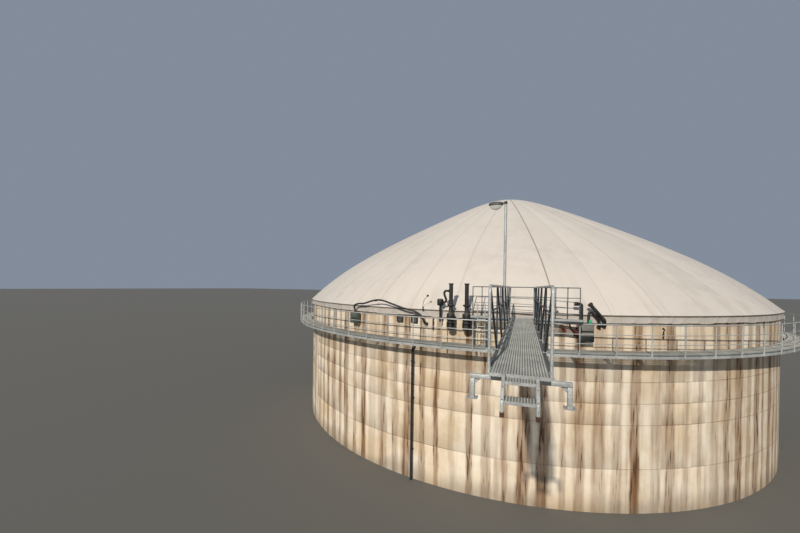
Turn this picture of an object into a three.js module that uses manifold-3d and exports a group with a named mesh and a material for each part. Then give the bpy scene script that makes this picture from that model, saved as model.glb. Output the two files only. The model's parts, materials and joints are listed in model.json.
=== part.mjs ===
// Biogas digester: a round concrete tank with an air-held membrane roof, a ring walkway and a gangway.
// Millimetres, +Z up. The origin lies on the tank's axis at ground level, and the gangway runs towards -Y.
import * as THREE from 'three';
import { mergeVertices } from 'three/addons/utils/BufferGeometryUtils.js';
import Module from 'manifold-3d';

// Tank
const TANK_RADIUS = 14000;
const WALL_THICKNESS = 250;
const WALL_HEIGHT = 6940;
const FLOOR_THICKNESS = 200;
const TANK_FACETS = 72;
const TANK_TURN = -0.3;
const GAP = 0.3;
const OVERLAP = 2;
const HAIR = 0.5;

// Membrane roof
const EAVES_HEIGHT = 7000;
const MEMBRANE_RADIUS = 14080;
const MEMBRANE_RISE = 7375;
const MEMBRANE_THICKNESS = 30;
const CONE_SHARE = 0.86;
const BULGE_POWER = 6.9;
const CROWN_ROUNDNESS = 0.144;
const CROWN_CAP_RADIUS = 320;
const CROWN_CAP_THICKNESS = 25;
const CLAMP_INNER = 13800;
const CLAMP_OUTER = 14095;
const APRON_INNER = 14012;
const APRON_HEIGHT = 240;
const APRON_THICKNESS = 24;
const STRAP_AZIMUTH = 9.7;
const STRAP_WIDTH = 40;
const STRAP_THICKNESS = 25;
const STRAP_END_GAP = 20;
const CAP_FACETS = 24;

// Ring walkway
const WALKWAY_LENGTHS = 4;
const BAYS_PER_LENGTH = 20;
const BAY_ANGLE = 4.5;
const FIRST_JOINT = 0.55;
const WALKWAY_INNER = 14090;
const WALKWAY_TOP = 5760;
const GRATING_THICKNESS = 30;
const CHANNEL_INNER = 14750;
const CHANNEL_OUTER = 14770;
const CHANNEL_HEIGHT = 160;
const CONSOLE_WIDTH = 60;
const CONSOLE_ROOT_DEPTH = 250;
const CONSOLE_END_DEPTH = 90;
const POST_WIDTH = 42;
const POST_DEPTH = 40;
const RAIL_TOP = 6740;
const TOP_RAIL_HEIGHT = 42;
const KNEE_RAIL_HEIGHT = 26;

// Gangway
const GANGWAY_CENTRE = 1200;
const GANGWAY_WIDTH = 700;
const GANGWAY_TOP = 6840;
const GANGWAY_NEAR = -22900;
const CHORD_WIDTH = 70;
const CHORD_HEIGHT = 80;
const CROSS_BAR = 40;
const RAIL_HEIGHT = 1100;
const KNEE_RAIL_PLACE = 730;
const HANDRAIL = 42;
const TRUSS_BAY = 1420;
const TRUSS_BAYS = 5;
const FIRST_TRUSS_POST = -22600;
const TRUSS_POST = 30;
const TRUSS_DIAGONAL = 40;
const FOOT_BEAM_LENGTH = 1230;
const FOOT_BEAM = 60;
const FOOT_BEAM_PLACE = -22700;
const FOOT_PLATE = 140;
const FOOT_PLATE_THICKNESS = 10;
const NEIGHBOUR_ROOF = 6440;
const STEP_CENTRE = GANGWAY_CENTRE + 15;
const STEP_WIDTH = 425;
const STEP_RUN = 200;
const STEP_HEIGHTS = [6800, 6630];
const STEP_THICKNESS = 40;
const STEP_SIDE = 42;
const STEP_SIDE_TOP = 6860;
const STEP_SIDE_LEVEL = 130;
const STEP_SIDE_DEPTH = 70;
const STEP_NOSE = 10;
const STEP_FOOT = 50;

// Platform across the gangway's end
const PLATFORM_LEFT = -565;
const PLATFORM_RIGHT = 3110;
const PLATFORM_FRONT = -14640;
const PLATFORM_BACK = -14140;
const PLATFORM_BEAM = 60;
const PLATFORM_CROSS_BEAMS = [0, 2000];
const PLATFORM_POSTS = [-540, -205, 450, 1650, 2300, 2680, 3067];
const PLATFORM_RAILS = [200, 400, 740, 1090];
const PLATFORM_RAIL = 30;
const PLATFORM_POST_DROP = 12;
const PLATFORM_LEGS = [[-500, -14180], [2000, -14180], [0, -14560], [2000, -14560]];
const LEG = 50;
const LADDER_LEFT = -316;
const LADDER_WIDTH = 300;
const LADDER_TOP = 7320;
const LADDER_RAIL = 36;
const LADDER_RUNG = 30;
const RUNG_INSET = 4;
const LADDER_RUNGS = [5990, 6240, 6490, 6740];

// Light mast
const MAST_PLACE = [596, -14300];
const MAST_RADIUS = 50;
const MAST_TOP = 11000;
const MAST_PLATE = 200;
const MAST_PLATE_THICKNESS = 12;
const FLOODLIGHT_WIDTH = 480;
const FLOODLIGHT_HEIGHT = 300;
const FLOODLIGHT_DEPTH = 170;
const FLOODLIGHT_CLEARANCE = 30;
const FLOODLIGHT_DROP = 20;
const FLOODLIGHT_ARM = 60;
const FLOODLIGHT_ARM_DROP = 180;

// Fittings on the wall: [flat's azimuth, distance along the flat, distance out from it]
const GUARD_1 = [-7.8, 599, 313];
const GUARD_2 = [-2.8, -50, 313];
const GUARD_PIPE_SHIFT = 90;
const GUARD_PIPE_HEIGHT = 6400;
const GUARD_PIPE_RADIUS = 55;
const GUARD_RADIUS = 155;
const GUARD_FLANGE_TOP = 7230;
const GUARD_TOP = 8030;
const STANDPIPE_RADIUS = 75;
const GUARD_FLANGE_RADIUS = 140;
const GUARD_FLANGE = 50;
const GUARD_CAP_RADIUS = 97;
const GUARD_CAP = 40;
const VENT_POT = [-7.8, 150, 250];
const POT_RADIUS = 125;
const POT_PIPE_HEIGHT = 6600;
const POT_PIPE_RADIUS = 36;
const WINDOW_1 = [-12.8, -530, 0];
const WINDOW_2 = [-12.8, 170, 0];
const WINDOW_SIZE = 290;
const WINDOW_DEPTH = 90;
const WINDOW_BASE = 6405;
const WINDOW_RIM = 40;
const WINDOW_PLATE = 20;
const CABINET = [12.2, 306, 100];
const CABINET_WIDTH = 470;
const CABINET_DEPTH = 240;
const CABINET_LOW = 6070;
const CABINET_TOP = 6665;
const CABINET_RAILS = [-160, 160];
const GLANDS = [-166, 105];
const GLAND_OUT = 190;
const GLAND_HEIGHT = 165;
const GLAND_RADIUS = 50;
const CABINET_PIPE_OUT = 60;
const ELBOW_PLACE = -120;
const ELBOW_RADIUS = 45;
const ELBOW_HEIGHT = 7363;
const ELBOW_HEAD = [-381, -221];
const ELBOW_HEAD_RADIUS = 72;
const BEND_PLACE = 112;
const BEND_RADIUS = 45;
const BEND_STEPS = 24;
const BEND_END = [17.2, -405, 0];
const BEND_END_HEIGHT = 6550;
const SLANTING_PIPE = [17.2, -429, 190];
const SLANTING_PIPE_RADIUS = 60;
const SLANTING_SOCKET = 26;
const SLANTING_END = [17.2, -240, 0];
const SLANTING_END_HEIGHT = 6590;
const SLANTING_BEND_RADIUS = 55;
const SLANTING_BEND_STEPS = 14;
const PIPE_END_FLANGE = 74;
const VALVE_1 = [12.2, -381, 0];
const VALVE_2 = [12.2, -20, 0];
const VALVE_1_HEIGHT = 6447;
const VALVE_2_HEIGHT = 6380;
const HANDWHEEL_RADIUS = 78;
const HANDWHEEL_THICKNESS = 22;
const HANDWHEEL_SIDES = 16;
const HANDWHEEL_OUT = 218;
const VALVE_BODY = 45;
const VALVE_BODY_DEPTH = 120;
const VALVE_STEM_RADIUS = 14;
const VALVE_STEM_SIDES = 6;
const FITTING = [27.2, -560, 0];
const FITTING_WIDTH = 80;
const FITTING_DEPTH = 70;
const FITTING_LOW = 6180;
const FITTING_TOP = 6560;
const WALL_FLANGE = 16;
const WALL_FLANGE_RATIO = 1.6;
const GOOSENECK_RADIUS = 42;
const GOOSENECK_STEPS = 24;
const MOUNT_RAIL = 40;
const AIR_BLOWER = [-27.8, 560, 60];
const BLOWER_WIDTH = 480;
const BLOWER_DEPTH = 240;
const BLOWER_LOW = 6160;
const BLOWER_TOP = 6640;
const BLOWER_RAILS = [-160, 160];
const AIR_PIPE_RADIUS = 38;
const AIR_PIPE_OUT = 300;
const AIR_PIPE_ARCH = [
  [-25.2, 6960], [-24.2, 7060], [-22.5, 7100], [-20.4, 7235], [-18.6, 7285], [-16, 7150],
  [-13.7, 7000], [-11.6, 6900], [-10.58, 6777], [-10.04, 6645], [-9.87, 6510],
];
const AIR_PIPE_END = [-7.8, -500, 0];
const AIR_PIPE_LOW = 6400;
const AIR_PIPE_STEPS = 36;
const DOWN_PIPE = [-12.8, 150, 130];
const DOWN_PIPE_RADIUS = 50;
const DOWN_PIPE_TOP = 5400;
const DOWN_PIPE_FLANGE = [4835, 4865, 75];
const DOWN_PIPE_CLIPS = [3300, 1200];
const DOWN_PIPE_CLIP = 50;
const FITTING_SIDES = 12;
const PIPE_SIDES = 8;

const degrees = Math.PI / 180;
const wasm = await Module();
wasm.setup();

// Materials
const finish = (color, roughness, metalness) => (
  new THREE.MeshStandardMaterial({ color, roughness, metalness })
);
const concrete = () => finish(0xd9c7a6, 0.9, 0);
const membraneCloth = () => finish(0xd9d2c6, 0.6, 0);
const galvanised = () => finish(0xa4aaaa, 0.45, 0.8);
const grating = () => finish(0x9c9688, 0.6, 0.6);
const darkSteel = () => finish(0x4b4f50, 0.5, 0.7);
const blackPlastic = () => finish(0x1b1b1c, 0.5, 0);
const greenPlastic = () => finish(0x1f8f5a, 0.45, 0);
const redPaint = () => finish(0x8f2a24, 0.5, 0.2);
const strapFabric = () => finish(0x6d675e, 0.7, 0);
const cabinetPaint = () => finish(0x83837e, 0.5, 0.3);
const blowerPaint = () => finish(0x5c6560, 0.6, 0.2);

// A closed mesh with shared corners, its faces pointing out
function closed(geometry) {
  const bare = geometry.index ? geometry.toNonIndexed() : geometry.clone();
  bare.deleteAttribute('normal');
  bare.deleteAttribute('uv');
  const merged = mergeVertices(bare, 1e-3);
  const index = merged.index.array;
  const place = merged.attributes.position;
  const corner = (i) => new THREE.Vector3().fromBufferAttribute(place, i);
  const faces = [];
  let volume = 0;
  for (let i = 0; i < index.length; i += 3) {
    const [a, b, c] = [index[i], index[i + 1], index[i + 2]];
    if (a !== b && b !== c && a !== c) {
      faces.push([a, b, c]);
      volume += corner(a).dot(corner(b).cross(corner(c)));
    }
  }
  const outward = volume < 0 ? faces.map(([a, b, c]) => [a, c, b]) : faces;
  merged.setIndex(outward.flat());
  return merged;
}

function toSolid(geometry) {
  const whole = closed(geometry);
  const vertProperties = new Float32Array(whole.attributes.position.array);
  const triVerts = new Uint32Array(whole.index.array);
  return new wasm.Manifold(new wasm.Mesh({ numProp: 3, vertProperties, triVerts }));
}

function fromSolid(solid) {
  const mesh = solid.getMesh();
  const geometry = new THREE.BufferGeometry();
  geometry.setAttribute('position', new THREE.BufferAttribute(new Float32Array(mesh.vertProperties), 3));
  geometry.setIndex(Array.from(mesh.triVerts));
  return geometry;
}

// One body from several that meet
function join(pieces) {
  const [first, ...rest] = pieces.map(toSolid);
  return fromSolid(rest.reduce((whole, piece) => whole.add(piece), first));
}

// A point from its azimuth, counted from -Y towards +X, its radius and its height
function around(azimuth, radius, height) {
  const angle = azimuth * degrees;
  return new THREE.Vector3(radius * Math.sin(angle), -radius * Math.cos(angle), height);
}

function block(x0, y0, z0, x1, y1, z1) {
  const geometry = new THREE.BoxGeometry(x1 - x0, y1 - y0, z1 - z0);
  return geometry.translate((x0 + x1) / 2, (y0 + y1) / 2, (z0 + z1) / 2);
}

// A straight bar of rectangular section between two points, its width kept level
function bar(from, to, width, height) {
  const along = new THREE.Vector3().subVectors(to, from);
  const length = along.length();
  along.normalize();
  const up = Math.abs(along.z) > 0.999 ? new THREE.Vector3(0, 1, 0) : new THREE.Vector3(0, 0, 1);
  const side = new THREE.Vector3().crossVectors(along, up).normalize();
  const top = new THREE.Vector3().crossVectors(side, along).normalize();
  const turn = new THREE.Matrix4().makeBasis(side, along, top);
  turn.setPosition(new THREE.Vector3().addVectors(from, to).multiplyScalar(0.5));
  return new THREE.BoxGeometry(width, length, height).applyMatrix4(turn);
}

// A round bar between two points
function rod(from, to, radius, sides = PIPE_SIDES) {
  const along = new THREE.Vector3().subVectors(to, from);
  const upright = new THREE.Vector3(0, 1, 0);
  const turn = new THREE.Quaternion().setFromUnitVectors(upright, along.clone().normalize());
  const middle = new THREE.Vector3().addVectors(from, to).multiplyScalar(0.5);
  const geometry = new THREE.CylinderGeometry(radius, radius, along.length(), sides);
  return geometry.applyQuaternion(turn).translate(middle.x, middle.y, middle.z);
}

// A level slab whose outline is a list of [x, y]
function slab(outline, low, high, holes = []) {
  const shape = new THREE.Shape(outline.map(([x, y]) => new THREE.Vector2(x, y)));
  shape.holes = holes.map((hole) => new THREE.Path(hole.map(([x, y]) => new THREE.Vector2(x, y))));
  const geometry = new THREE.ExtrudeGeometry(shape, { depth: high - low, bevelEnabled: false });
  return geometry.translate(0, 0, low);
}

function ring(inner, outer, low, high) {
  const circle = (radius) => Array.from({ length: TANK_FACETS }, (_, i) => {
    const point = around(TANK_TURN + (i * 360) / TANK_FACETS, radius, 0);
    return [point.x, point.y];
  });
  return slab(circle(outer), low, high, inner > 0 ? [circle(inner)] : []);
}

// A tube along a smooth curve through points
function tube(points, radius, steps, sides = PIPE_SIDES) {
  const section = new THREE.Shape(Array.from({ length: sides }, (_, i) => {
    const angle = (i / sides) * 2 * Math.PI;
    return new THREE.Vector2(radius * Math.cos(angle), radius * Math.sin(angle));
  }));
  const path = new THREE.CatmullRomCurve3(points);
  return new THREE.ExtrudeGeometry(section, { steps, bevelEnabled: false, extrudePath: path });
}

// A profile of [radius, height] turned about the upright axis
function turned(profile, facets) {
  const geometry = new THREE.LatheGeometry(profile.map(([r, z]) => new THREE.Vector2(r, z)), facets);
  return geometry.rotateX(Math.PI / 2);
}

const digester = new THREE.Group();

function add(name, geometry, material) {
  const mesh = new THREE.Mesh(closed(geometry), material);
  mesh.name = name;
  digester.add(mesh);
}

// Tank: a level floor and a ring of wall
const wallInner = TANK_RADIUS - WALL_THICKNESS;
add('floor_slab', ring(0, wallInner - GAP, 0, FLOOR_THICKNESS), concrete());
add('tank_wall', ring(wallInner, TANK_RADIUS, 0, WALL_HEIGHT), concrete());

// Membrane roof: a cone with a rounded crown that bulges a little near the eaves
function membraneHeight(radius) {
  const share = radius / MEMBRANE_RADIUS;
  const rounded = Math.hypot(share, CROWN_ROUNDNESS) - CROWN_ROUNDNESS;
  const slope = 1 - rounded / (Math.hypot(1, CROWN_ROUNDNESS) - CROWN_ROUNDNESS);
  const bulge = 1 - share ** BULGE_POWER;
  return EAVES_HEIGHT + MEMBRANE_RISE * (CONE_SHARE * slope + (1 - CONE_SHARE) * bulge);
}
const MEMBRANE_RADII = [0, 1100, 2900, 7400, 11400, 13300, MEMBRANE_RADIUS];
const membraneOutside = MEMBRANE_RADII.map((radius) => [radius, membraneHeight(radius)]);
const membraneInside = membraneOutside.map(([radius, height]) => [
  radius > 0 ? radius - MEMBRANE_THICKNESS : 0,
  radius < MEMBRANE_RADIUS ? height - MEMBRANE_THICKNESS : EAVES_HEIGHT,
]);
const membraneProfile = [...membraneOutside, ...membraneInside.reverse()];
add('membrane_roof', turned(membraneProfile, TANK_FACETS).rotateZ(TANK_TURN * degrees), membraneCloth());

// The membrane between two of its rings is a straight cone
function facetedHeight(radius) {
  const outer = MEMBRANE_RADII.findIndex((ringRadius) => ringRadius >= radius);
  const [r0, z0] = membraneOutside[outer - 1];
  const [r1, z1] = membraneOutside[outer];
  return z0 + ((z1 - z0) * (radius - r0)) / (r1 - r0);
}

// Crown cap: a round patch that follows the cone at the apex
const capSeat = 3 * GAP;
const apex = membraneHeight(0);
const capEdge = facetedHeight(CROWN_CAP_RADIUS);
const capProfile = [
  [0, apex + capSeat],
  [CROWN_CAP_RADIUS, capEdge + capSeat],
  [CROWN_CAP_RADIUS, capEdge + capSeat + CROWN_CAP_THICKNESS / 2],
  [0, apex + capSeat + CROWN_CAP_THICKNESS],
];
add('roof_crown', turned(capProfile, CAP_FACETS).rotateZ(TANK_TURN * degrees), membraneCloth());

// Clamp rail on the wall's head, and the apron that hangs below it
add('membrane_clamp_rail', ring(CLAMP_INNER, CLAMP_OUTER, WALL_HEIGHT, EAVES_HEIGHT), galvanised());
const apronOuter = APRON_INNER + APRON_THICKNESS;
const apronLow = WALL_HEIGHT - APRON_HEIGHT;
add('membrane_apron', ring(APRON_INNER, apronOuter, apronLow, WALL_HEIGHT), membraneCloth());

// A plate standing in a radial plane: its outline is a list of [radius, height]
function radialPlate(outline, azimuth, thickness, holes = []) {
  const shape = new THREE.Shape(outline.map(([r, z]) => new THREE.Vector2(r, z)));
  shape.holes = holes.map((hole) => new THREE.Path(hole.map(([r, z]) => new THREE.Vector2(r, z))));
  const geometry = new THREE.ExtrudeGeometry(shape, { depth: thickness, bevelEnabled: false });
  geometry.translate(0, 0, -thickness / 2);
  const outward = around(azimuth, 1, 0);
  const up = new THREE.Vector3(0, 0, 1);
  const turn = new THREE.Matrix4().makeBasis(outward, up, new THREE.Vector3().crossVectors(outward, up));
  return geometry.applyMatrix4(turn);
}

// Strap: it lies along one line of the membrane from the crown cap to the eaves
function roofStrap() {
  const radii = [
    CROWN_CAP_RADIUS + STRAP_END_GAP, ...MEMBRANE_RADII.slice(1, -1), MEMBRANE_RADIUS - STRAP_END_GAP,
  ];
  const under = radii.map((radius) => [radius, facetedHeight(radius) + capSeat]);
  const over = under.map(([radius, height]) => [radius, height + STRAP_THICKNESS]).reverse();
  return radialPlate([...under, ...over], STRAP_AZIMUTH, STRAP_WIDTH);
}
add('roof_strap', roofStrap(), strapFabric());

// The walkway bends at its posts; a length ends halfway along a bay
const LENGTH_ANGLE = BAYS_PER_LENGTH * BAY_ANGLE;
const halfBay = BAY_ANGLE / 2;
function walkwayCorners(start, radius) {
  const end = [start + LENGTH_ANGLE, radius * Math.cos(halfBay * degrees)];
  const posts = Array.from({ length: BAYS_PER_LENGTH }, (_, i) => [start + halfBay + i * BAY_ANGLE, radius]);
  return [[start, end[1]], ...posts, end];
}

function walkwayBand(start, inner, outer, low, high) {
  const line = (radius) => walkwayCorners(start, radius).map(([azimuth, r]) => {
    const point = around(azimuth, r, 0);
    return [point.x, point.y];
  });
  return slab([...line(outer), ...line(inner).reverse()], low, high);
}

const wallFlat = TANK_RADIUS * Math.cos(Math.PI / TANK_FACETS) + GAP;
const frameTop = WALKWAY_TOP - GRATING_THICKNESS;

// How far out a console starts: on a facet's slope its nearer corner keeps the gap
function consoleRoot(azimuth) {
  const pitch = 360 / TANK_FACETS;
  const turned = azimuth - TANK_TURN;
  const aside = (turned - (Math.floor(turned / pitch) + 0.5) * pitch) * degrees;
  return (wallFlat + (CONSOLE_WIDTH / 2) * Math.abs(Math.sin(aside))) / Math.cos(aside);
}

// Walkway frame: a tapered console on the wall at every post, and the edge channel that joins them
function walkwayFrame(start) {
  const armEnd = CHANNEL_INNER + OVERLAP;
  const consoles = Array.from({ length: BAYS_PER_LENGTH }, (_, i) => {
    const azimuth = start + (i + 0.5) * BAY_ANGLE;
    const root = consoleRoot(azimuth);
    const outline = [
      [root, frameTop - CONSOLE_ROOT_DEPTH],
      [armEnd, frameTop - CONSOLE_END_DEPTH],
      [armEnd, frameTop],
      [root, frameTop],
    ];
    return radialPlate(outline, azimuth, CONSOLE_WIDTH);
  });
  const channelLow = WALKWAY_TOP - CHANNEL_HEIGHT;
  const channel = walkwayBand(start, CHANNEL_INNER, CHANNEL_OUTER, channelLow, WALKWAY_TOP);
  return join([channel, ...consoles]);
}

const deckOuter = CHANNEL_INNER - GAP;
const walkwayDeck = (start) => walkwayBand(start, WALKWAY_INNER, deckOuter, frameTop, WALKWAY_TOP);

// Railing: posts outside the channel, a top rail and two knee rails, as a grid of cells that bends at posts
function walkwayRailing(start) {
  const inner = CHANNEL_OUTER + GAP;
  const outer = inner + POST_DEPTH;
  const foot = WALKWAY_TOP - CHANNEL_HEIGHT;
  const clear = RAIL_TOP - TOP_RAIL_HEIGHT - WALKWAY_TOP;
  const knee = (share) => WALKWAY_TOP + clear * share - KNEE_RAIL_HEIGHT / 2;
  const kneeLow = knee(1 / 3);
  const kneeHigh = knee(2 / 3);
  const levels = [
    foot,
    kneeLow,
    kneeLow + KNEE_RAIL_HEIGHT,
    kneeHigh,
    kneeHigh + KNEE_RAIL_HEIGHT,
    RAIL_TOP - TOP_RAIL_HEIGHT,
    RAIL_TOP,
  ];
  const halfPost = POST_WIDTH / 2 / inner / degrees;
  const columns = walkwayCorners(start, 1).flatMap(([azimuth, share], i, all) => {
    const isEnd = i === 0 || i === all.length - 1;
    return isEnd ? [[azimuth, share]] : [[azimuth - halfPost, share], [azimuth + halfPost, share]];
  });
  const filled = (column, row) => {
    const inside = column >= 0 && column < columns.length - 1 && row >= 0 && row < levels.length - 1;
    const isPost = column % 2 === 1;
    const isRail = row % 2 === 1;
    return inside && (isPost || isRail);
  };
  const points = [];
  const corner = (column, row, radius) => {
    const [azimuth, share] = columns[column];
    return around(azimuth, radius * share, levels[row]);
  };
  const quad = (a, b, c, d) => points.push(a, b, c, a, c, d);
  for (let column = 0; column < columns.length - 1; column += 1) {
    for (let row = 0; row < levels.length - 1; row += 1) {
      if (filled(column, row)) {
        const near = [[0, 0], [1, 0], [1, 1], [0, 1]].map(([c, r]) => corner(column + c, row + r, outer));
        const far = [[0, 0], [1, 0], [1, 1], [0, 1]].map(([c, r]) => corner(column + c, row + r, inner));
        quad(near[0], near[1], near[2], near[3]);
        quad(far[3], far[2], far[1], far[0]);
        if (!filled(column, row - 1)) quad(far[0], far[1], near[1], near[0]);
        if (!filled(column, row + 1)) quad(near[3], near[2], far[2], far[3]);
        if (!filled(column - 1, row)) quad(far[0], near[0], near[3], far[3]);
        if (!filled(column + 1, row)) quad(near[1], far[1], far[2], near[2]);
      }
    }
  }
  return new THREE.BufferGeometry().setFromPoints(points);
}

for (let length = 0; length < WALKWAY_LENGTHS; length += 1) {
  const start = FIRST_JOINT + length * LENGTH_ANGLE;
  add(`walkway_frame_${length + 1}`, walkwayFrame(start), galvanised());
  add(`walkway_deck_${length + 1}`, walkwayDeck(start), grating());
  add(`walkway_railing_${length + 1}`, walkwayRailing(start), galvanised());
}

// Gangway: two bottom chords joined by cross bars, a grating between them, and a truss railing on each chord
const halfWidth = GANGWAY_WIDTH / 2;
const gangwayFar = PLATFORM_FRONT - GAP;
const chordLow = GANGWAY_TOP - CHORD_HEIGHT;
const gratingLow = GANGWAY_TOP - GRATING_THICKNESS;
const chordMiddle = halfWidth + CHORD_WIDTH / 2;
function gangwayFrame() {
  const chords = [-1, 1].map((side) => {
    const inner = GANGWAY_CENTRE + side * halfWidth;
    const outer = inner + side * CHORD_WIDTH;
    const [left, right] = [Math.min(inner, outer), Math.max(inner, outer)];
    return block(left, GANGWAY_NEAR, chordLow, right, gangwayFar, GANGWAY_TOP);
  });
  const inner = Array.from({ length: TRUSS_BAYS }, (_, i) => FIRST_TRUSS_POST + (i + 1) * TRUSS_BAY);
  const places = [GANGWAY_NEAR + HAIR, ...inner, gangwayFar - CROSS_BAR - HAIR];
  const reach = halfWidth + OVERLAP;
  const bars = places.map((y) => block(
    GANGWAY_CENTRE - reach, y, chordLow + OVERLAP, GANGWAY_CENTRE + reach, y + CROSS_BAR, gratingLow,
  ));
  return join([...chords, ...bars]);
}

const deckLeft = GANGWAY_CENTRE - halfWidth + GAP;
const deckRight = GANGWAY_CENTRE + halfWidth - GAP;
add('gangway_frame', gangwayFrame(), galvanised());
add('gangway_deck', block(deckLeft, GANGWAY_NEAR, gratingLow, deckRight, gangwayFar, GANGWAY_TOP), grating());

function gangwayRailing(x) {
  const top = GANGWAY_TOP + RAIL_HEIGHT;
  const kneeHeight = GANGWAY_TOP + KNEE_RAIL_PLACE;
  const post = (y, width) => {
    const side = width / 2;
    return block(x - side, y - side, GANGWAY_TOP, x + side, y + side, top);
  };
  const rail = (height, size) => block(
    x - size / 2, FIRST_TRUSS_POST, height - size, x + size / 2, gangwayFar - HANDRAIL / 2, height,
  );
  const pieces = [rail(top, HANDRAIL), rail(kneeHeight, TRUSS_POST), post(FIRST_TRUSS_POST, HANDRAIL)];
  for (let bay = 0; bay < TRUSS_BAYS; bay += 1) {
    const near = FIRST_TRUSS_POST + bay * TRUSS_BAY;
    const far = near + TRUSS_BAY;
    const high = new THREE.Vector3(x, near + TRUSS_DIAGONAL, top - HANDRAIL / 2);
    const low = new THREE.Vector3(x, far - TRUSS_DIAGONAL / 2, GANGWAY_TOP + TRUSS_DIAGONAL);
    pieces.push(post(far, TRUSS_POST), bar(high, low, TRUSS_POST - 2 * OVERLAP, TRUSS_DIAGONAL));
  }
  pieces.push(post(gangwayFar - HANDRAIL / 2, HANDRAIL));
  return join(pieces);
}
add('gangway_railing_left', gangwayRailing(GANGWAY_CENTRE - chordMiddle), galvanised());
add('gangway_railing_right', gangwayRailing(GANGWAY_CENTRE + chordMiddle), galvanised());

// Foot frame: a cross beam under the near end with a short leg and a plate at each end
function footFrame() {
  const [y0, y1] = [FOOT_BEAM_PLACE - FOOT_BEAM / 2, FOOT_BEAM_PLACE + FOOT_BEAM / 2];
  const [x0, x1] = [GANGWAY_CENTRE - FOOT_BEAM_LENGTH / 2, GANGWAY_CENTRE + FOOT_BEAM_LENGTH / 2];
  const feet = [x0 + FOOT_BEAM / 2, x1 - FOOT_BEAM / 2].flatMap((x) => [
    block(x - FOOT_BEAM / 2, y0, NEIGHBOUR_ROOF, x + FOOT_BEAM / 2, y1, chordLow - HAIR),
    block(
      x - FOOT_PLATE / 2, FOOT_BEAM_PLACE - FOOT_PLATE / 2, NEIGHBOUR_ROOF,
      x + FOOT_PLATE / 2, FOOT_BEAM_PLACE + FOOT_PLATE / 2, NEIGHBOUR_ROOF + FOOT_PLATE_THICKNESS,
    ),
  ]);
  return join([block(x0, y0, chordLow - FOOT_BEAM, x1, y1, chordLow), ...feet]);
}
add('gangway_foot_frame', footFrame(), galvanised());

// Steps: two gratings between side plates that slope with them and hang against the gangway's end
function accessSteps() {
  const back = GANGWAY_NEAR - GAP;
  const front = back - 2 * STEP_RUN;
  const [high, low] = STEP_HEIGHTS;
  const [left, right] = [STEP_CENTRE - STEP_WIDTH / 2, STEP_CENTRE + STEP_WIDTH / 2];
  const [treadLeft, treadRight] = [left + STEP_SIDE - OVERLAP, right - STEP_SIDE + OVERLAP];
  const treads = STEP_HEIGHTS.map((height, i) => {
    const far = back - i * STEP_RUN;
    return block(treadLeft, far - STEP_RUN, height - STEP_THICKNESS, treadRight, far, height);
  });
  const outline = [
    [back, STEP_SIDE_TOP],
    [back - STEP_SIDE_LEVEL, STEP_SIDE_TOP],
    [front - STEP_NOSE, low - STEP_NOSE],
    [front - STEP_NOSE, NEIGHBOUR_ROOF],
    [front + STEP_FOOT, NEIGHBOUR_ROOF],
    [front + STEP_FOOT, low - STEP_SIDE_DEPTH],
    [back, high - STEP_SIDE_DEPTH],
  ];
  const sides = [left, right - STEP_SIDE].map((x) => {
    const shape = new THREE.Shape(outline.map(([y, z]) => new THREE.Vector2(y, z)));
    const plate = new THREE.ExtrudeGeometry(shape, { depth: STEP_SIDE, bevelEnabled: false });
    const turn = new THREE.Matrix4().makeBasis(
      new THREE.Vector3(0, 1, 0), new THREE.Vector3(0, 0, 1), new THREE.Vector3(1, 0, 0),
    );
    return plate.applyMatrix4(turn).translate(x, 0, 0);
  });
  return join([...treads, ...sides]);
}
add('access_steps', accessSteps(), galvanised());

// Platform: a frame on four legs that stand on the walkway, a grating and a railing along its back
const platformLow = gratingLow - PLATFORM_BEAM;
function platformFrame() {
  const rail = (x0, y0, x1, y1) => block(x0, y0, platformLow, x1, y1, gratingLow);
  const beams = [
    rail(PLATFORM_LEFT, PLATFORM_FRONT, PLATFORM_RIGHT, PLATFORM_FRONT + PLATFORM_BEAM),
    rail(PLATFORM_LEFT, PLATFORM_BACK - PLATFORM_BEAM, PLATFORM_RIGHT, PLATFORM_BACK),
    ...[PLATFORM_LEFT, ...PLATFORM_CROSS_BEAMS, PLATFORM_RIGHT - PLATFORM_BEAM].map((x) => (
      rail(x, PLATFORM_FRONT, x + PLATFORM_BEAM, PLATFORM_BACK)
    )),
  ];
  const legs = PLATFORM_LEGS.map(([x, y]) => block(x, y, WALKWAY_TOP, x + LEG, y + LEG, platformLow + HAIR));
  return join([...beams, ...legs]);
}
add('platform_frame', platformFrame(), galvanised());
add('platform_deck', block(
  PLATFORM_LEFT, PLATFORM_FRONT, gratingLow, PLATFORM_RIGHT, PLATFORM_BACK, GANGWAY_TOP,
), grating());

function platformRailing() {
  const y = PLATFORM_BACK - PLATFORM_RAIL;
  const halfRail = PLATFORM_RAIL / 2;
  const postTop = GANGWAY_TOP + RAIL_HEIGHT - PLATFORM_POST_DROP;
  const posts = PLATFORM_POSTS.map((x) => (
    block(x - halfRail, y, GANGWAY_TOP, x + halfRail, y + PLATFORM_RAIL, postTop)
  ));
  const [left, right] = [PLATFORM_POSTS[0], PLATFORM_POSTS[PLATFORM_POSTS.length - 1]];
  const [near, far] = [y + OVERLAP, y + PLATFORM_RAIL - OVERLAP];
  const rails = PLATFORM_RAILS.map((height) => (
    block(left, near, GANGWAY_TOP + height - halfRail, right, far, GANGWAY_TOP + height)
  ));
  return join([...posts, ...rails]);
}
add('platform_railing', platformRailing(), galvanised());

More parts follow.
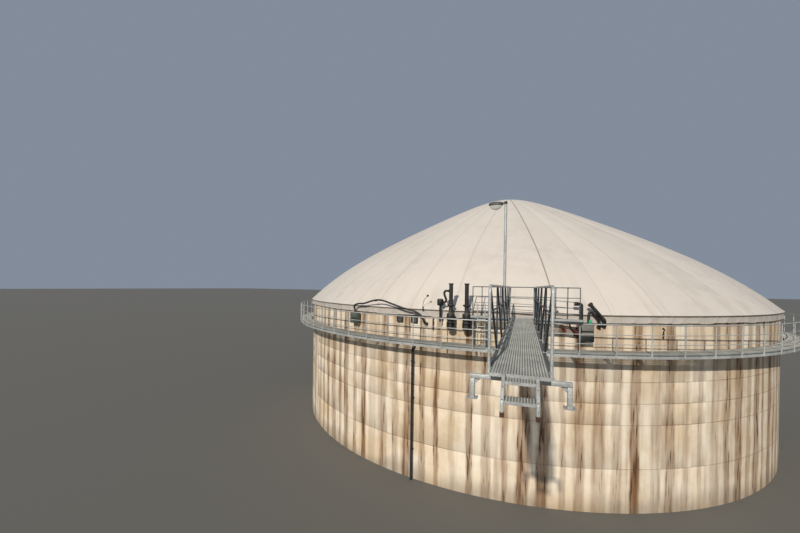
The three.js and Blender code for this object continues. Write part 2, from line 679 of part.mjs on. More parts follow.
function platformLadder() {
  const back = PLATFORM_FRONT - GAP;
  const rails = [LADDER_LEFT, LADDER_LEFT + LADDER_WIDTH - LADDER_RAIL].map((x) => (
    block(x, back - LADDER_RAIL, WALKWAY_TOP, x + LADDER_RAIL, back, LADDER_TOP)
  ));
  const [left, right] = [LADDER_LEFT + HAIR, LADDER_LEFT + LADDER_WIDTH - HAIR];
  const [near, far] = [back - LADDER_RAIL + RUNG_INSET, back - RUNG_INSET];
  const rungs = LADDER_RUNGS.map((height) => (
    block(left, near, height - LADDER_RUNG / 2, right, far, height + LADDER_RUNG / 2)
  ));
  return join([...rails, ...rungs]);
}
add('platform_ladder', platformLadder(), galvanised());

// Light mast on the platform, with a floodlight at its head
const [mastX, mastY] = MAST_PLACE;
const mastPoint = (height) => new THREE.Vector3(mastX, mastY, height);
const half = MAST_PLATE / 2;
const plateTop = GANGWAY_TOP + MAST_PLATE_THICKNESS;
add('light_mast', join([
  rod(mastPoint(GANGWAY_TOP), mastPoint(MAST_TOP), MAST_RADIUS, FITTING_SIDES),
  block(mastX - half, mastY - half, GANGWAY_TOP, mastX + half, mastY + half, plateTop),
]), galvanised());

function floodlight() {
  const right = mastX - MAST_RADIUS - FLOODLIGHT_CLEARANCE;
  const left = right - FLOODLIGHT_WIDTH;
  const front = mastY - FLOODLIGHT_DEPTH / 2;
  const top = MAST_TOP - FLOODLIGHT_DROP;
  const armLow = top - FLOODLIGHT_ARM_DROP;
  const halfArm = FLOODLIGHT_ARM / 2;
  const armEnd = mastX - MAST_RADIUS - GAP;
  const head = block(left, front, top - FLOODLIGHT_HEIGHT, right, front + FLOODLIGHT_DEPTH, top);
  const armTop = armLow + FLOODLIGHT_ARM;
  const arm = block(right - HAIR, mastY - halfArm, armLow, armEnd, mastY + halfArm, armTop);
  return join([head, arm]);
}
add('floodlight', floodlight(), darkSteel());

// Fittings stand off the wall's flats: x runs along the flat, y away from it, z up
function byWall([azimuth, along, out], geometry) {
  const outward = around(azimuth, 1, 0);
  const up = new THREE.Vector3(0, 0, 1);
  const tangent = new THREE.Vector3().crossVectors(up, outward);
  const place = new THREE.Matrix4().makeBasis(tangent, outward.clone().negate(), up);
  place.setPosition(outward.clone().multiplyScalar(wallFlat + out).addScaledVector(tangent, along));
  return geometry.applyMatrix4(place);
}
const spot = (x, out, z) => new THREE.Vector3(x, -out, z);
const piece = (x0, out0, z0, x1, out1, z1) => block(x0, -out1, z0, x1, -out0, z1);

// A pipe that runs straight into the wall and ends in a round flange there
function wallPipe(x, out, height, radius) {
  return [
    rod(spot(x, 0, height), spot(x, -out, height), radius),
    rod(spot(x, WALL_FLANGE - out, height), spot(x, -out, height), radius * WALL_FLANGE_RATIO),
  ];
}

// Points of a pipe's route that are measured from a flat of the wall
function pointsByWall(place, spots) {
  const { position } = byWall(place, new THREE.BufferGeometry().setFromPoints(spots)).attributes;
  return spots.map((_, i) => new THREE.Vector3().fromBufferAttribute(position, i));
}

// The round flange on the wall where a bent pipe ends
const endFlange = (place, height, radius) => (
  byWall(place, rod(spot(0, 0, height), spot(0, WALL_FLANGE + OVERLAP, height), radius))
);

// Upright rails that hold a housing off the wall
function mountRails(places, out, low, top) {
  return places.map((x) => (
    piece(x - MOUNT_RAIL / 2, -out, low + MOUNT_RAIL, x + MOUNT_RAIL / 2, HAIR, top - MOUNT_RAIL)
  ));
}

// Pressure guard: a liquid-filled barrel with a flange and a standpipe
function pressureGuard(place) {
  const profile = [
    [0, 6270],
    [110, 6270],
    [GUARD_RADIUS, 6310],
    [GUARD_RADIUS, 6560],
    [130, 6580],
    [130, 6620],
    [GUARD_RADIUS, 6640],
    [GUARD_RADIUS, 6870],
    [STANDPIPE_RADIUS, 6940],
    [STANDPIPE_RADIUS, 7150],
    [GUARD_FLANGE_RADIUS, GUARD_FLANGE_TOP - GUARD_FLANGE],
    [GUARD_FLANGE_RADIUS, GUARD_FLANGE_TOP],
    [STANDPIPE_RADIUS, GUARD_FLANGE_TOP],
    [STANDPIPE_RADIUS, GUARD_TOP - GUARD_CAP],
    [GUARD_CAP_RADIUS, GUARD_TOP - GUARD_CAP],
    [GUARD_CAP_RADIUS, GUARD_TOP],
    [0, GUARD_TOP],
  ];
  const shift = place === GUARD_1 ? -GUARD_PIPE_SHIFT : 0;
  const pipe = wallPipe(shift, place[2], GUARD_PIPE_HEIGHT, GUARD_PIPE_RADIUS);
  return byWall(place, join([turned(profile, FITTING_SIDES), ...pipe]));
}
add('pressure_guard_1', pressureGuard(GUARD_1), blackPlastic());
add('pressure_guard_2', pressureGuard(GUARD_2), blackPlastic());

// Vent pot on a pipe from the wall, and the bent tube that joins it to the first standpipe
const potProfile = [
  [0, 6540],
  [40, 6540],
  [40, 7150],
  [POT_RADIUS, 7190],
  [POT_RADIUS, 7380],
  [90, 7430],
  [0, 7430],
];
const potPipe = wallPipe(0, VENT_POT[2], POT_PIPE_HEIGHT, POT_PIPE_RADIUS);
const pot = join([turned(potProfile, FITTING_SIDES), ...potPipe]);
add('vent_pot', byWall(VENT_POT, pot), blackPlastic());
const gooseneckEnd = GUARD_1[1] - VENT_POT[1] - STANDPIPE_RADIUS - 2 * GAP;
const gooseneckOut = GUARD_1[2] - VENT_POT[2];
const gooseneck = tube([
  spot(POT_RADIUS + 3 * GAP, 0, 7295),
  spot(185, 0, 7295),
  spot(243, 20, 7370),
  spot(225, 45, 7480),
  spot(188, 55, 7576),
  spot(178, gooseneckOut, 7660),
  spot(225, gooseneckOut, 7732),
  spot(300, gooseneckOut, 7740),
  spot(gooseneckEnd, gooseneckOut, 7740),
], GOOSENECK_RADIUS, GOOSENECK_STEPS);
add('vent_gooseneck', byWall(VENT_POT, gooseneck), blackPlastic());

// Down pipe under the walkway: it leaves the wall, turns down and ends at the ground
function downPipe() {
  const [flangeLow, flangeTop, flangeRadius] = DOWN_PIPE_FLANGE;
  const out = DOWN_PIPE[2];
  const clips = DOWN_PIPE_CLIPS.map((height) => (
    piece(-DOWN_PIPE_CLIP / 2, -out, height, DOWN_PIPE_CLIP / 2, 0, height + DOWN_PIPE_CLIP)
  ));
  return join([
    rod(spot(0, 0, 0), spot(0, 0, DOWN_PIPE_TOP + DOWN_PIPE_RADIUS), DOWN_PIPE_RADIUS),
    rod(spot(0, 0, flangeLow), spot(0, 0, flangeTop), flangeRadius),
    ...wallPipe(0, out, DOWN_PIPE_TOP, DOWN_PIPE_RADIUS),
    ...clips,
  ]);
}
add('down_pipe', byWall(DOWN_PIPE, downPipe()), blackPlastic());

// Air blower on two upright rails, and its pipe, which arches over the wall's head and ends in the wall
const blowerSide = BLOWER_WIDTH / 2;
const blowerRails = mountRails(BLOWER_RAILS, AIR_BLOWER[2], BLOWER_LOW, BLOWER_TOP);
const blowerBody = piece(-blowerSide, 0, BLOWER_LOW, blowerSide, BLOWER_DEPTH, BLOWER_TOP);
add('air_blower', byWall(AIR_BLOWER, join([blowerBody, ...blowerRails])), blowerPaint());

function airPipe() {
  const start = pointsByWall(AIR_BLOWER, [
    spot(0, BLOWER_DEPTH / 2, BLOWER_TOP + GAP),
    spot(0, BLOWER_DEPTH / 2, BLOWER_TOP + 2 * AIR_PIPE_RADIUS),
  ]);
  const end = pointsByWall(AIR_PIPE_END, [
    spot(0, AIR_PIPE_OUT / 2, AIR_PIPE_LOW),
    spot(0, WALL_FLANGE, AIR_PIPE_LOW),
  ]);
  const radius = wallFlat + AIR_PIPE_OUT;
  const arch = AIR_PIPE_ARCH.map(([azimuth, height]) => around(azimuth, radius, height));
  const flange = endFlange(AIR_PIPE_END, AIR_PIPE_LOW, WALL_FLANGE_RATIO * AIR_PIPE_RADIUS);
  return join([tube([...start, ...arch, ...end], AIR_PIPE_RADIUS, AIR_PIPE_STEPS), flange]);
}
add('air_pipe', airPipe(), blackPlastic());

// Inspection window: a deep square frame on a back plate
function inspectionWindow(place) {
  const [wide, top] = [WINDOW_SIZE / 2, WINDOW_BASE + WINDOW_SIZE];
  return byWall(place, join([
    piece(-wide, 0, WINDOW_BASE, wide, WINDOW_PLATE, top),
    piece(-wide, 0, WINDOW_BASE, wide, WINDOW_DEPTH, WINDOW_BASE + WINDOW_RIM),
    piece(-wide, 0, top - WINDOW_RIM, wide, WINDOW_DEPTH, top),
    piece(-wide, 0, WINDOW_BASE, WINDOW_RIM - wide, WINDOW_DEPTH, top),
    piece(wide - WINDOW_RIM, 0, WINDOW_BASE, wide, WINDOW_DEPTH, top),
  ]));
}
add('inspection_window_1', inspectionWindow(WINDOW_1), darkSteel());
add('inspection_window_2', inspectionWindow(WINDOW_2), darkSteel());

// Control cabinet on two upright rails, with two glands and the pipes on its top
const cabinetSide = CABINET_WIDTH / 2;
const cabinetRails = mountRails(CABINET_RAILS, CABINET[2], CABINET_LOW, CABINET_TOP);
const cabinetBody = piece(-cabinetSide, 0, CABINET_LOW, cabinetSide, CABINET_DEPTH, CABINET_TOP);
add('control_cabinet', byWall(CABINET, join([cabinetBody, ...cabinetRails])), cabinetPaint());

const glandFoot = (x) => spot(x, GLAND_OUT, CABINET_TOP);
const glandHead = (x) => spot(x, GLAND_OUT, CABINET_TOP + GLAND_HEIGHT);
const gland = (x) => byWall(CABINET, rod(glandFoot(x), glandHead(x), GLAND_RADIUS));
add('cabinet_gland_left', gland(GLANDS[0]), greenPlastic());
add('cabinet_gland_right', gland(GLANDS[1]), greenPlastic());

const onCabinet = (x, height) => spot(x, CABINET_PIPE_OUT, height);
const [elbowHead, elbowNeck] = ELBOW_HEAD;
const elbow = join([
  rod(onCabinet(ELBOW_PLACE, CABINET_TOP), onCabinet(ELBOW_PLACE, ELBOW_HEIGHT + 20), ELBOW_RADIUS),
  rod(onCabinet(ELBOW_PLACE, CABINET_TOP), onCabinet(ELBOW_PLACE, CABINET_TOP + 18), ELBOW_RADIUS + 10),
  rod(onCabinet(ELBOW_PLACE + 41, ELBOW_HEIGHT), onCabinet(elbowNeck - 20, ELBOW_HEIGHT), ELBOW_RADIUS),
  rod(onCabinet(elbowNeck, ELBOW_HEIGHT), onCabinet(elbowHead, ELBOW_HEIGHT), ELBOW_HEAD_RADIUS),
]);
add('elbow_vent', byWall(CABINET, elbow), blackPlastic());

// Bent pipe from the cabinet's top into the wall beside it
function cabinetBend() {
  const arch = pointsByWall(CABINET, [
    onCabinet(BEND_PLACE, CABINET_TOP + GAP),
    onCabinet(BEND_PLACE, 6930),
    onCabinet(122, 7040),
    onCabinet(165, 7100),
    onCabinet(225, 7070),
    onCabinet(300, 6990),
    onCabinet(375, 6910),
    onCabinet(425, 6830),
    onCabinet(452, 6740),
    onCabinet(480, 6640),
  ]);
  const end = pointsByWall(BEND_END, [
    spot(0, 80, BEND_END_HEIGHT),
    spot(0, WALL_FLANGE, BEND_END_HEIGHT),
  ]);
  const flange = endFlange(BEND_END, BEND_END_HEIGHT, PIPE_END_FLANGE);
  return join([tube([...arch, ...end], BEND_RADIUS, BEND_STEPS), flange]);
}
add('cabinet_bend', cabinetBend(), blackPlastic());

// Slanting pipe with a socket at its open head and a bend into the wall at its foot
function slantingPipe() {
  const straight = join([
    rod(spot(-370, 0, 7352), spot(0, 0, 6937), SLANTING_PIPE_RADIUS),
    rod(spot(-388, 0, 7372), spot(-348, 0, 7327), SLANTING_PIPE_RADIUS + SLANTING_SOCKET),
  ]);
  const route = pointsByWall(SLANTING_PIPE, [
    spot(-30, 0, 6971),
    spot(10, 0, 6926),
    spot(70, -5, 6850),
    spot(125, -35, 6760),
    spot(165, -75, 6675),
  ]);
  const end = pointsByWall(SLANTING_END, [
    spot(0, 70, SLANTING_END_HEIGHT),
    spot(0, WALL_FLANGE, SLANTING_END_HEIGHT),
  ]);
  return join([
    byWall(SLANTING_PIPE, straight),
    tube([...route, ...end], SLANTING_BEND_RADIUS, SLANTING_BEND_STEPS),
    endFlange(SLANTING_END, SLANTING_END_HEIGHT, PIPE_END_FLANGE),
  ]);
}
add('slanting_pipe', slantingPipe(), blackPlastic());

// Valve: a body on the wall, a stem and a handwheel
function valve(place, height) {
  const [low, top] = [height - VALVE_BODY, height + VALVE_BODY];
  const onStem = (out) => spot(0, out, height);
  const [stemFoot, stemEnd] = [VALVE_BODY_DEPTH - OVERLAP, HANDWHEEL_OUT + OVERLAP];
  const wheelBack = HANDWHEEL_OUT - HANDWHEEL_THICKNESS;
  return byWall(place, join([
    piece(-VALVE_BODY, 0, low, VALVE_BODY, VALVE_BODY_DEPTH, top),
    rod(onStem(stemFoot), onStem(stemEnd), VALVE_STEM_RADIUS, VALVE_STEM_SIDES),
    rod(onStem(wheelBack), onStem(HANDWHEEL_OUT), HANDWHEEL_RADIUS, HANDWHEEL_SIDES),
  ]));
}
add('valve_1', valve(VALVE_1, VALVE_1_HEIGHT), redPaint());
add('valve_2', valve(VALVE_2, VALVE_2_HEIGHT), redPaint());

const halfFitting = FITTING_WIDTH / 2;
const fittingBody = piece(-halfFitting, 0, FITTING_LOW, halfFitting, FITTING_DEPTH, FITTING_TOP);
add('wall_fitting', byWall(FITTING, fittingBody), darkSteel());

export default digester;
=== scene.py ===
# %% [markdown]
# # A biogas digester with a membrane roof
# A round concrete tank, 28 m across, stands under a cone of coated cloth that air holds up. A steel
# walkway runs round it, and a gangway leads to a platform at the eaves.
# The CAD frame gives every size and place. This lesson dresses it: each step says what the real piece
# is, how it could be made, and why this way was chosen. Everything is in metres, with Z up, the tank's
# axis at the origin and the gangway towards -Y.

# %% Load the frame
import json
import math
import random

import bpy
from mathutils import Matrix, Vector

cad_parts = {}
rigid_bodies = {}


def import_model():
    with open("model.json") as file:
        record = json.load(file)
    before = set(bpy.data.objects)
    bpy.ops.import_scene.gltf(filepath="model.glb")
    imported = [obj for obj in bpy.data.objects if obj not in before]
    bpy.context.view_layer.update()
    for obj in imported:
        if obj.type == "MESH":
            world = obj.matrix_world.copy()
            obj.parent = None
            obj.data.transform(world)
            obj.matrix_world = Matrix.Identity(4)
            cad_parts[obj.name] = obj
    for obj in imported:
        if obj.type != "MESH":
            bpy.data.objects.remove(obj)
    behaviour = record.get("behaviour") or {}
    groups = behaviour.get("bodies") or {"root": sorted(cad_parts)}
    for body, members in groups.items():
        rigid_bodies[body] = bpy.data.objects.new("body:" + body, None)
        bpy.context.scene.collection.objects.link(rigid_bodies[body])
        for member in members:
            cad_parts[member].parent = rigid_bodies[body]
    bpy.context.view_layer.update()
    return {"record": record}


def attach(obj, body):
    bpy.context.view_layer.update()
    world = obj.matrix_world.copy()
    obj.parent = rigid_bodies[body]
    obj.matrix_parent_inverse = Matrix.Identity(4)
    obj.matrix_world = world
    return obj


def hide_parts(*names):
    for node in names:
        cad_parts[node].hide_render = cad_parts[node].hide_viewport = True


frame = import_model()

# %% [markdown]
# ## The camera
# The photograph was taken with a very wide lens, from beyond the gangway's free end and nearly in line
# with it. The focal length and heading come from sight lines to the walkway's posts, so the camera
# stands at a measured point and its angles are named values. The horizon sits a little below the middle
# of the picture, which a vertical shift gives while the lens stays nearly level.

# %% Place the camera
PHOTO_WIDTH = 800
PHOTO_HEIGHT = 533
FOCAL_PIXELS = 348.9
HORIZON_PIXEL = 288.07
EYE = Vector((1.23, -27.375, 7.90))
HEADING = math.radians(19.45)
PITCH = math.radians(-0.35)
ROLL = math.radians(0.829)

level_right = Vector((math.cos(HEADING), math.sin(HEADING), 0))
level_forward = Vector((-math.sin(HEADING), math.cos(HEADING), 0))
up = Vector((0, 0, 1))
forward = level_forward * math.cos(PITCH) + up * math.sin(PITCH)
lens_up = up * math.cos(PITCH) - level_forward * math.sin(PITCH)
camera_turn = Matrix((level_right, lens_up, -forward)).transposed().to_4x4()
lens = bpy.data.cameras.new("eye_of_the_photographer")
lens.lens = FOCAL_PIXELS / PHOTO_WIDTH * lens.sensor_width
lens.shift_y = (HORIZON_PIXEL - PHOTO_HEIGHT / 2) / PHOTO_WIDTH
camera = bpy.data.objects.new("camera", lens)
camera.matrix_world = Matrix.Translation(EYE) @ camera_turn @ Matrix.Rotation(ROLL, 4, "Z")
bpy.context.scene.collection.objects.link(camera)
bpy.context.scene.camera = camera
print(f"lens {lens.lens:.2f} mm, shift {lens.shift_y:.4f}")

# %% [markdown]
# ## Floor and light
# The object is shown on a plain grey floor, as in a studio. One lamp stands where the sun stood, behind
# the viewer and rather low. Its height follows from the shadows that the walkway and the standpipes throw
# in the photograph. A pale blue surround fills the shadows as a clear sky does.

# %% Colours, nodes and materials
def srgb(red, green, blue):
    """A colour read off a screen, 0 to 255, as the linear colour that shaders use."""
    def linear(value):
        share = value / 255
        return share / 12.92 if share <= 0.04045 else ((share + 0.055) / 1.055) ** 2.4
    return (linear(red), linear(green), linear(blue), 1.0)


def deselect():
    if bpy.context.object and bpy.context.object.mode != "OBJECT":
        bpy.ops.object.mode_set(mode="OBJECT")
    bpy.ops.object.select_all(action="DESELECT")


def new_node(tree, kind, inputs=None, **settings):
    """A shader node with its settings, its input values and its links in one line."""
    node = tree.nodes.new(kind)
    for key, value in settings.items():
        setattr(node, key, value)
    for key, value in (inputs or {}).items():
        if isinstance(value, bpy.types.NodeSocket):
            tree.links.new(value, node.inputs[key])
        else:
            node.inputs[key].default_value = value
    return node


def new_material(name):
    material = bpy.data.materials.new(name)
    material.use_nodes = True
    return material, material.node_tree, material.node_tree.nodes["Principled BSDF"]


# %% Floor, lamp and surround
FLOOR_SIZE = 900.0
FLOOR_GREY = srgb(108, 106, 100)
FLOOR_ROUGHNESS = 0.9
SUN_ELEVATION = math.radians(32.5)
SUN_AZIMUTH = math.radians(-5)
SUN_STRENGTH = 3.0
SUN_SOFTNESS = math.radians(1.2)
SUN_COLOUR = (1.0, 0.935, 0.84)
SKY_BLUE = srgb(188, 202, 222)
SKY_STRENGTH = 0.45

deselect()
bpy.ops.mesh.primitive_plane_add(size=FLOOR_SIZE, location=(0, 0, 0))
floor = bpy.context.object
floor.name = "floor"
floor_paint, _, surface = new_material("floor_paint")
surface.inputs["Base Color"].default_value = FLOOR_GREY
surface.inputs["Roughness"].default_value = FLOOR_ROUGHNESS
floor.data.materials.append(floor_paint)

sun_data = bpy.data.lights.new("broad_lamp", "SUN")
sun_data.energy = SUN_STRENGTH
sun_data.angle = SUN_SOFTNESS
sun_data.color = SUN_COLOUR
sun = bpy.data.objects.new("broad_lamp", sun_data)
toward_sun = Vector((
    math.sin(SUN_AZIMUTH) * math.cos(SUN_ELEVATION),
    -math.cos(SUN_AZIMUTH) * math.cos(SUN_ELEVATION),
    math.sin(SUN_ELEVATION),
))
sun.rotation_euler = toward_sun.to_track_quat("Z", "Y").to_euler()
bpy.context.scene.collection.objects.link(sun)

surround = bpy.data.worlds.new("surround")
surround.use_nodes = True
background = surround.node_tree.nodes["Background"]
background.inputs["Color"].default_value = SKY_BLUE
background.inputs["Strength"].default_value = SKY_STRENGTH
bpy.context.scene.world = surround
bpy.context.scene.view_settings.view_transform = "Standard"
print("floor", FLOOR_SIZE, "m, lamp towards", tuple(round(x, 2) for x in toward_sun))

# %% [markdown]
# ## Shared effects
# Several finishes share the same weather: clouds of dirt, fine specks and streaks that rain draws down.
# They are one node group. A second group measures round the tank, because stains and seams follow the
# angle round the axis and not X and Y. A third makes the crystals of hot-dip zinc, and a fourth lays dust
# on what faces up.

# %% Helpers for node trees
def new_group(name, inputs, outputs):
    group = bpy.data.node_groups.new(name, "ShaderNodeTree")
    for label, kind, value in inputs:
        socket = group.interface.new_socket(name=label, in_out="INPUT", socket_type=kind)
        socket.default_value = value
    for label, kind in outputs:
        group.interface.new_socket(name=label, in_out="OUTPUT", socket_type=kind)
    entry = group.nodes.new("NodeGroupInput")
    leave = group.nodes.new("NodeGroupOutput")
    return group, entry.outputs, leave.inputs


def maths(tree, operation, first, second=0.0, third=0.0):
    return new_node(tree, "ShaderNodeMath", {0: first, 1: second, 2: third}, operation=operation).outputs[0]


def faint(tree, mask, share):
    """A mask at part of its strength."""
    return maths(tree, "MULTIPLY", mask, share)


def vector_maths(tree, operation, inputs):
    return new_node(tree, "ShaderNodeVectorMath", inputs, operation=operation).outputs["Vector"]


def ease(tree, value, low, high, to_low=0.0, to_high=1.0):
    """A smooth step of value from low to high."""
    facts = {"Value": value, "From Min": low, "From Max": high, "To Min": to_low, "To Max": to_high}
    return new_node(tree, "ShaderNodeMapRange", facts, interpolation_type="SMOOTHSTEP").outputs["Result"]


def blend_colour(tree, share, first, second, blend="MIX"):
    node = new_node(tree, "ShaderNodeMix", data_type="RGBA", blend_type=blend)
    for index, value in ((0, share), (6, first), (7, second)):
        if isinstance(value, bpy.types.NodeSocket):
            tree.links.new(value, node.inputs[index])
        else:
            node.inputs[index].default_value = value
    return node.outputs[2]


def layered(tree, colour, *layers):
    """Colours laid over the first one. Each layer is its share, from 0 to 1, and its colour."""
    for share, layer in layers:
        colour = blend_colour(tree, share, colour, layer)
    return colour


def noise(tree, vector, scale, detail=3.0, roughness=0.55):
    facts = {"Vector": vector, "Scale": scale, "Detail": detail, "Roughness": roughness}
    return new_node(tree, "ShaderNodeTexNoise", facts).outputs["Fac"]


def stretched(tree, vector, scale):
    return new_node(tree, "ShaderNodeMapping", {"Vector": vector, "Scale": scale}).outputs["Vector"]


# %% Weather
def weather_group():
    """Clouds of dirt, specks and upright streaks, each from 0 to 1."""
    group, given, result = new_group(
        "weather",
        [("Size", "NodeSocketFloat", 1.0)],
        [("Clouds", "NodeSocketFloat"), ("Specks", "NodeSocketFloat"), ("Streaks", "NodeSocketFloat")],
    )
    place = new_node(group, "ShaderNodeTexCoord").outputs["Object"]
    vector = vector_maths(group, "SCALE", {0: place, "Scale": given["Size"]})
    clouds = ease(group, noise(group, vector, 0.9, 5.0, 0.6), 0.35, 0.68)
    specks = ease(group, noise(group, vector, 24.0, 3.0, 0.7), 0.52, 0.72)
    streaks = ease(group, noise(group, stretched(group, vector, (5.0, 5.0, 0.35)), 1.0, 4.0), 0.45, 0.72)
    for label, value in (("Clouds", clouds), ("Specks", specks), ("Streaks", streaks)):
        group.links.new(value, result[label])
    return group


# %% Angles round the tank
def round_the_tank_group():
    """Degrees round the axis from the gangway's side, metres from the axis, and height."""
    group, _, result = new_group(
        "round_the_tank",
        [],
        [("Degrees", "NodeSocketFloat"), ("Radius", "NodeSocketFloat"), ("Height", "NodeSocketFloat")],
    )
    place = new_node(group, "ShaderNodeTexCoord").outputs["Object"]
    parts = new_node(group, "ShaderNodeSeparateXYZ", {"Vector": place}).outputs
    backward = maths(group, "MULTIPLY", parts["Y"], -1.0)
    angle = maths(group, "ARCTAN2", parts["X"], backward)
    degrees = maths(group, "MULTIPLY", angle, 180 / math.pi)
    y_squared = maths(group, "MULTIPLY", parts["Y"], parts["Y"])
    squares = maths(group, "MULTIPLY_ADD", parts["X"], parts["X"], y_squared)
    group.links.new(degrees, result["Degrees"])
    group.links.new(maths(group, "SQRT", squares), result["Radius"])
    group.links.new(parts["Z"], result["Height"])
    return group


# %% Zinc and dust
def zinc_group():
    """Hot-dip zinc: the brightness of its crystals and a soft patina."""
    group, given, result = new_group(
        "zinc",
        [("Crystal", "NodeSocketFloat", 0.02)],
        [("Crystals", "NodeSocketFloat"), ("Patina", "NodeSocketFloat")],
    )
    place = new_node(group, "ShaderNodeTexCoord").outputs["Object"]
    scale = maths(group, "DIVIDE", 1.0, given["Crystal"])
    cells = new_node(group, "ShaderNodeTexVoronoi", {"Vector": place, "Scale": scale}, feature="F1")
    shade = new_node(group, "ShaderNodeSeparateColor", {"Color": cells.outputs["Color"]}).outputs[0]
    group.links.new(shade, result["Crystals"])
    group.links.new(ease(group, noise(group, place, 2.2, 4.0), 0.35, 0.7), result["Patina"])
    return group


def dust_group():
    """Dust on what faces up, from 0 to 1."""
    group, given, result = new_group(
        "dust", [("Amount", "NodeSocketFloat", 0.5)], [("Dust", "NodeSocketFloat")]
    )
    facing = new_node(group, "ShaderNodeNewGeometry").outputs["Normal"]
    upward = ease(group, new_node(group, "ShaderNodeSeparateXYZ", {"Vector": facing}).outputs["Z"], 0.2, 0.95)
    place = new_node(group, "ShaderNodeTexCoord").outputs["Object"]
    patches = ease(group, noise(group, place, 6.0, 5.0, 0.65), 0.3, 0.62)
    dusty = maths(group, "MULTIPLY", maths(group, "MULTIPLY", upward, patches), given["Amount"])
    group.links.new(dusty, result["Dust"])
    return group


# %% The groups, and how a material uses them
weather = weather_group()
round_the_tank = round_the_tank_group()
zinc = zinc_group()
dust = dust_group()


def placed(tree, group, **values):
    """A node group set into a material, with its own values."""
    node = tree.nodes.new("ShaderNodeGroup")
    node.node_tree = group
    for key, value in values.items():
        node.inputs[key].default_value = value
    return node.outputs


def bumped(tree, surface, height, strength, distance):
    facts = {"Height": height, "Strength": strength, "Distance": distance}
    bump = new_node(tree, "ShaderNodeBump", facts)
    tree.links.new(bump.outputs["Normal"], surface.inputs["Normal"])


def coated(tree, surface, colour, roughness):
    """Sends the colour and the roughness to the shader."""
    tree.links.new(colour, surface.inputs["Base Color"])
    tree.links.new(roughness, surface.inputs["Roughness"])


print("groups:", [g.name for g in bpy.data.node_groups])

# %% [markdown]
# ## Concrete with run-off stains
# Rain runs off the cloth, gathers in the folds of its apron and drips down the wall every 0.65 m, so the
# wall has brown columns of unequal width and strength. A picture could be laid over it, but the columns
# are a rule: the angle round the tank is cut into 136 cells, and each cell draws its own width, place and
# strength from one random number. Fine streaks break them up.

# %% The concrete
STAIN_CELLS = 136
STAIN_SWAY = 0.55
STAIN_ASIDE = 0.24
STAIN_NARROWEST, STAIN_WIDENING = 0.20, 0.28
STAIN_FAINTEST, STAIN_DARKENING = 0.38, 0.70
POUR_JOINTS = (1.55, 3.10, 3.86, 4.62)
JOINT_LINE = (0.006, 0.022)
SPLASH_HEIGHTS = (0.2, 1.0)
DRY_CREAM = srgb(248, 235, 214)
DAMP_CREAM = srgb(226, 204, 172)
RUN_OFF_BROWN = srgb(132, 94, 60)
DARKEST_RUN = srgb(70, 52, 40)
SPECK_BROWN = srgb(96, 78, 60)
SPLASH_BROWN = srgb(112, 94, 70)
JOINT_BROWN = srgb(112, 86, 62)


def stain_columns(tree, degrees, coordinates):
    """How strong the run-off stain is. Every cell round the tank draws its own width, place and strength."""
    sway = noise(tree, stretched(tree, coordinates, (0.9, 0.9, 0.45)), 1.0, 3.0)
    cells = maths(tree, "MULTIPLY_ADD", degrees, STAIN_CELLS / 360, 0.5)
    column = maths(tree, "MULTIPLY_ADD", maths(tree, "SUBTRACT", sway, 0.5), STAIN_SWAY, cells)
    cell = maths(tree, "FLOOR", column)
    within = maths(tree, "SUBTRACT", maths(tree, "FRACT", column), 0.5)
    draw = new_node(tree, "ShaderNodeTexWhiteNoise", {"W": cell}, noise_dimensions="1D").outputs["Color"]
    draws = new_node(tree, "ShaderNodeSeparateColor", {"Color": draw})
    width_draw, place_draw, strength_draw = draws.outputs
    aside = maths(tree, "MULTIPLY_ADD", place_draw, STAIN_ASIDE, -STAIN_ASIDE / 2)
    distance = maths(tree, "ABSOLUTE", maths(tree, "SUBTRACT", within, aside))
    width = maths(tree, "MULTIPLY_ADD", width_draw, STAIN_WIDENING, STAIN_NARROWEST)
    core = ease(tree, distance, faint(tree, width, 0.45), width, 1.0, 0.0)
    strength = maths(tree, "MULTIPLY_ADD", strength_draw, STAIN_DARKENING, STAIN_FAINTEST)
    return maths(tree, "MULTIPLY", core, strength)


def joint_lines(tree, height, clouds):
    """Thin dark lines where one lift of concrete meets the next."""
    line = 0.0
    for joint in POUR_JOINTS:
        off = maths(tree, "ABSOLUTE", maths(tree, "SUBTRACT", height, joint))
        line = maths(tree, "ADD", line, ease(tree, off, *JOINT_LINE, 1.0, 0.0))
    return maths(tree, "MULTIPLY", line, maths(tree, "MULTIPLY_ADD", clouds, 0.4, 0.3))


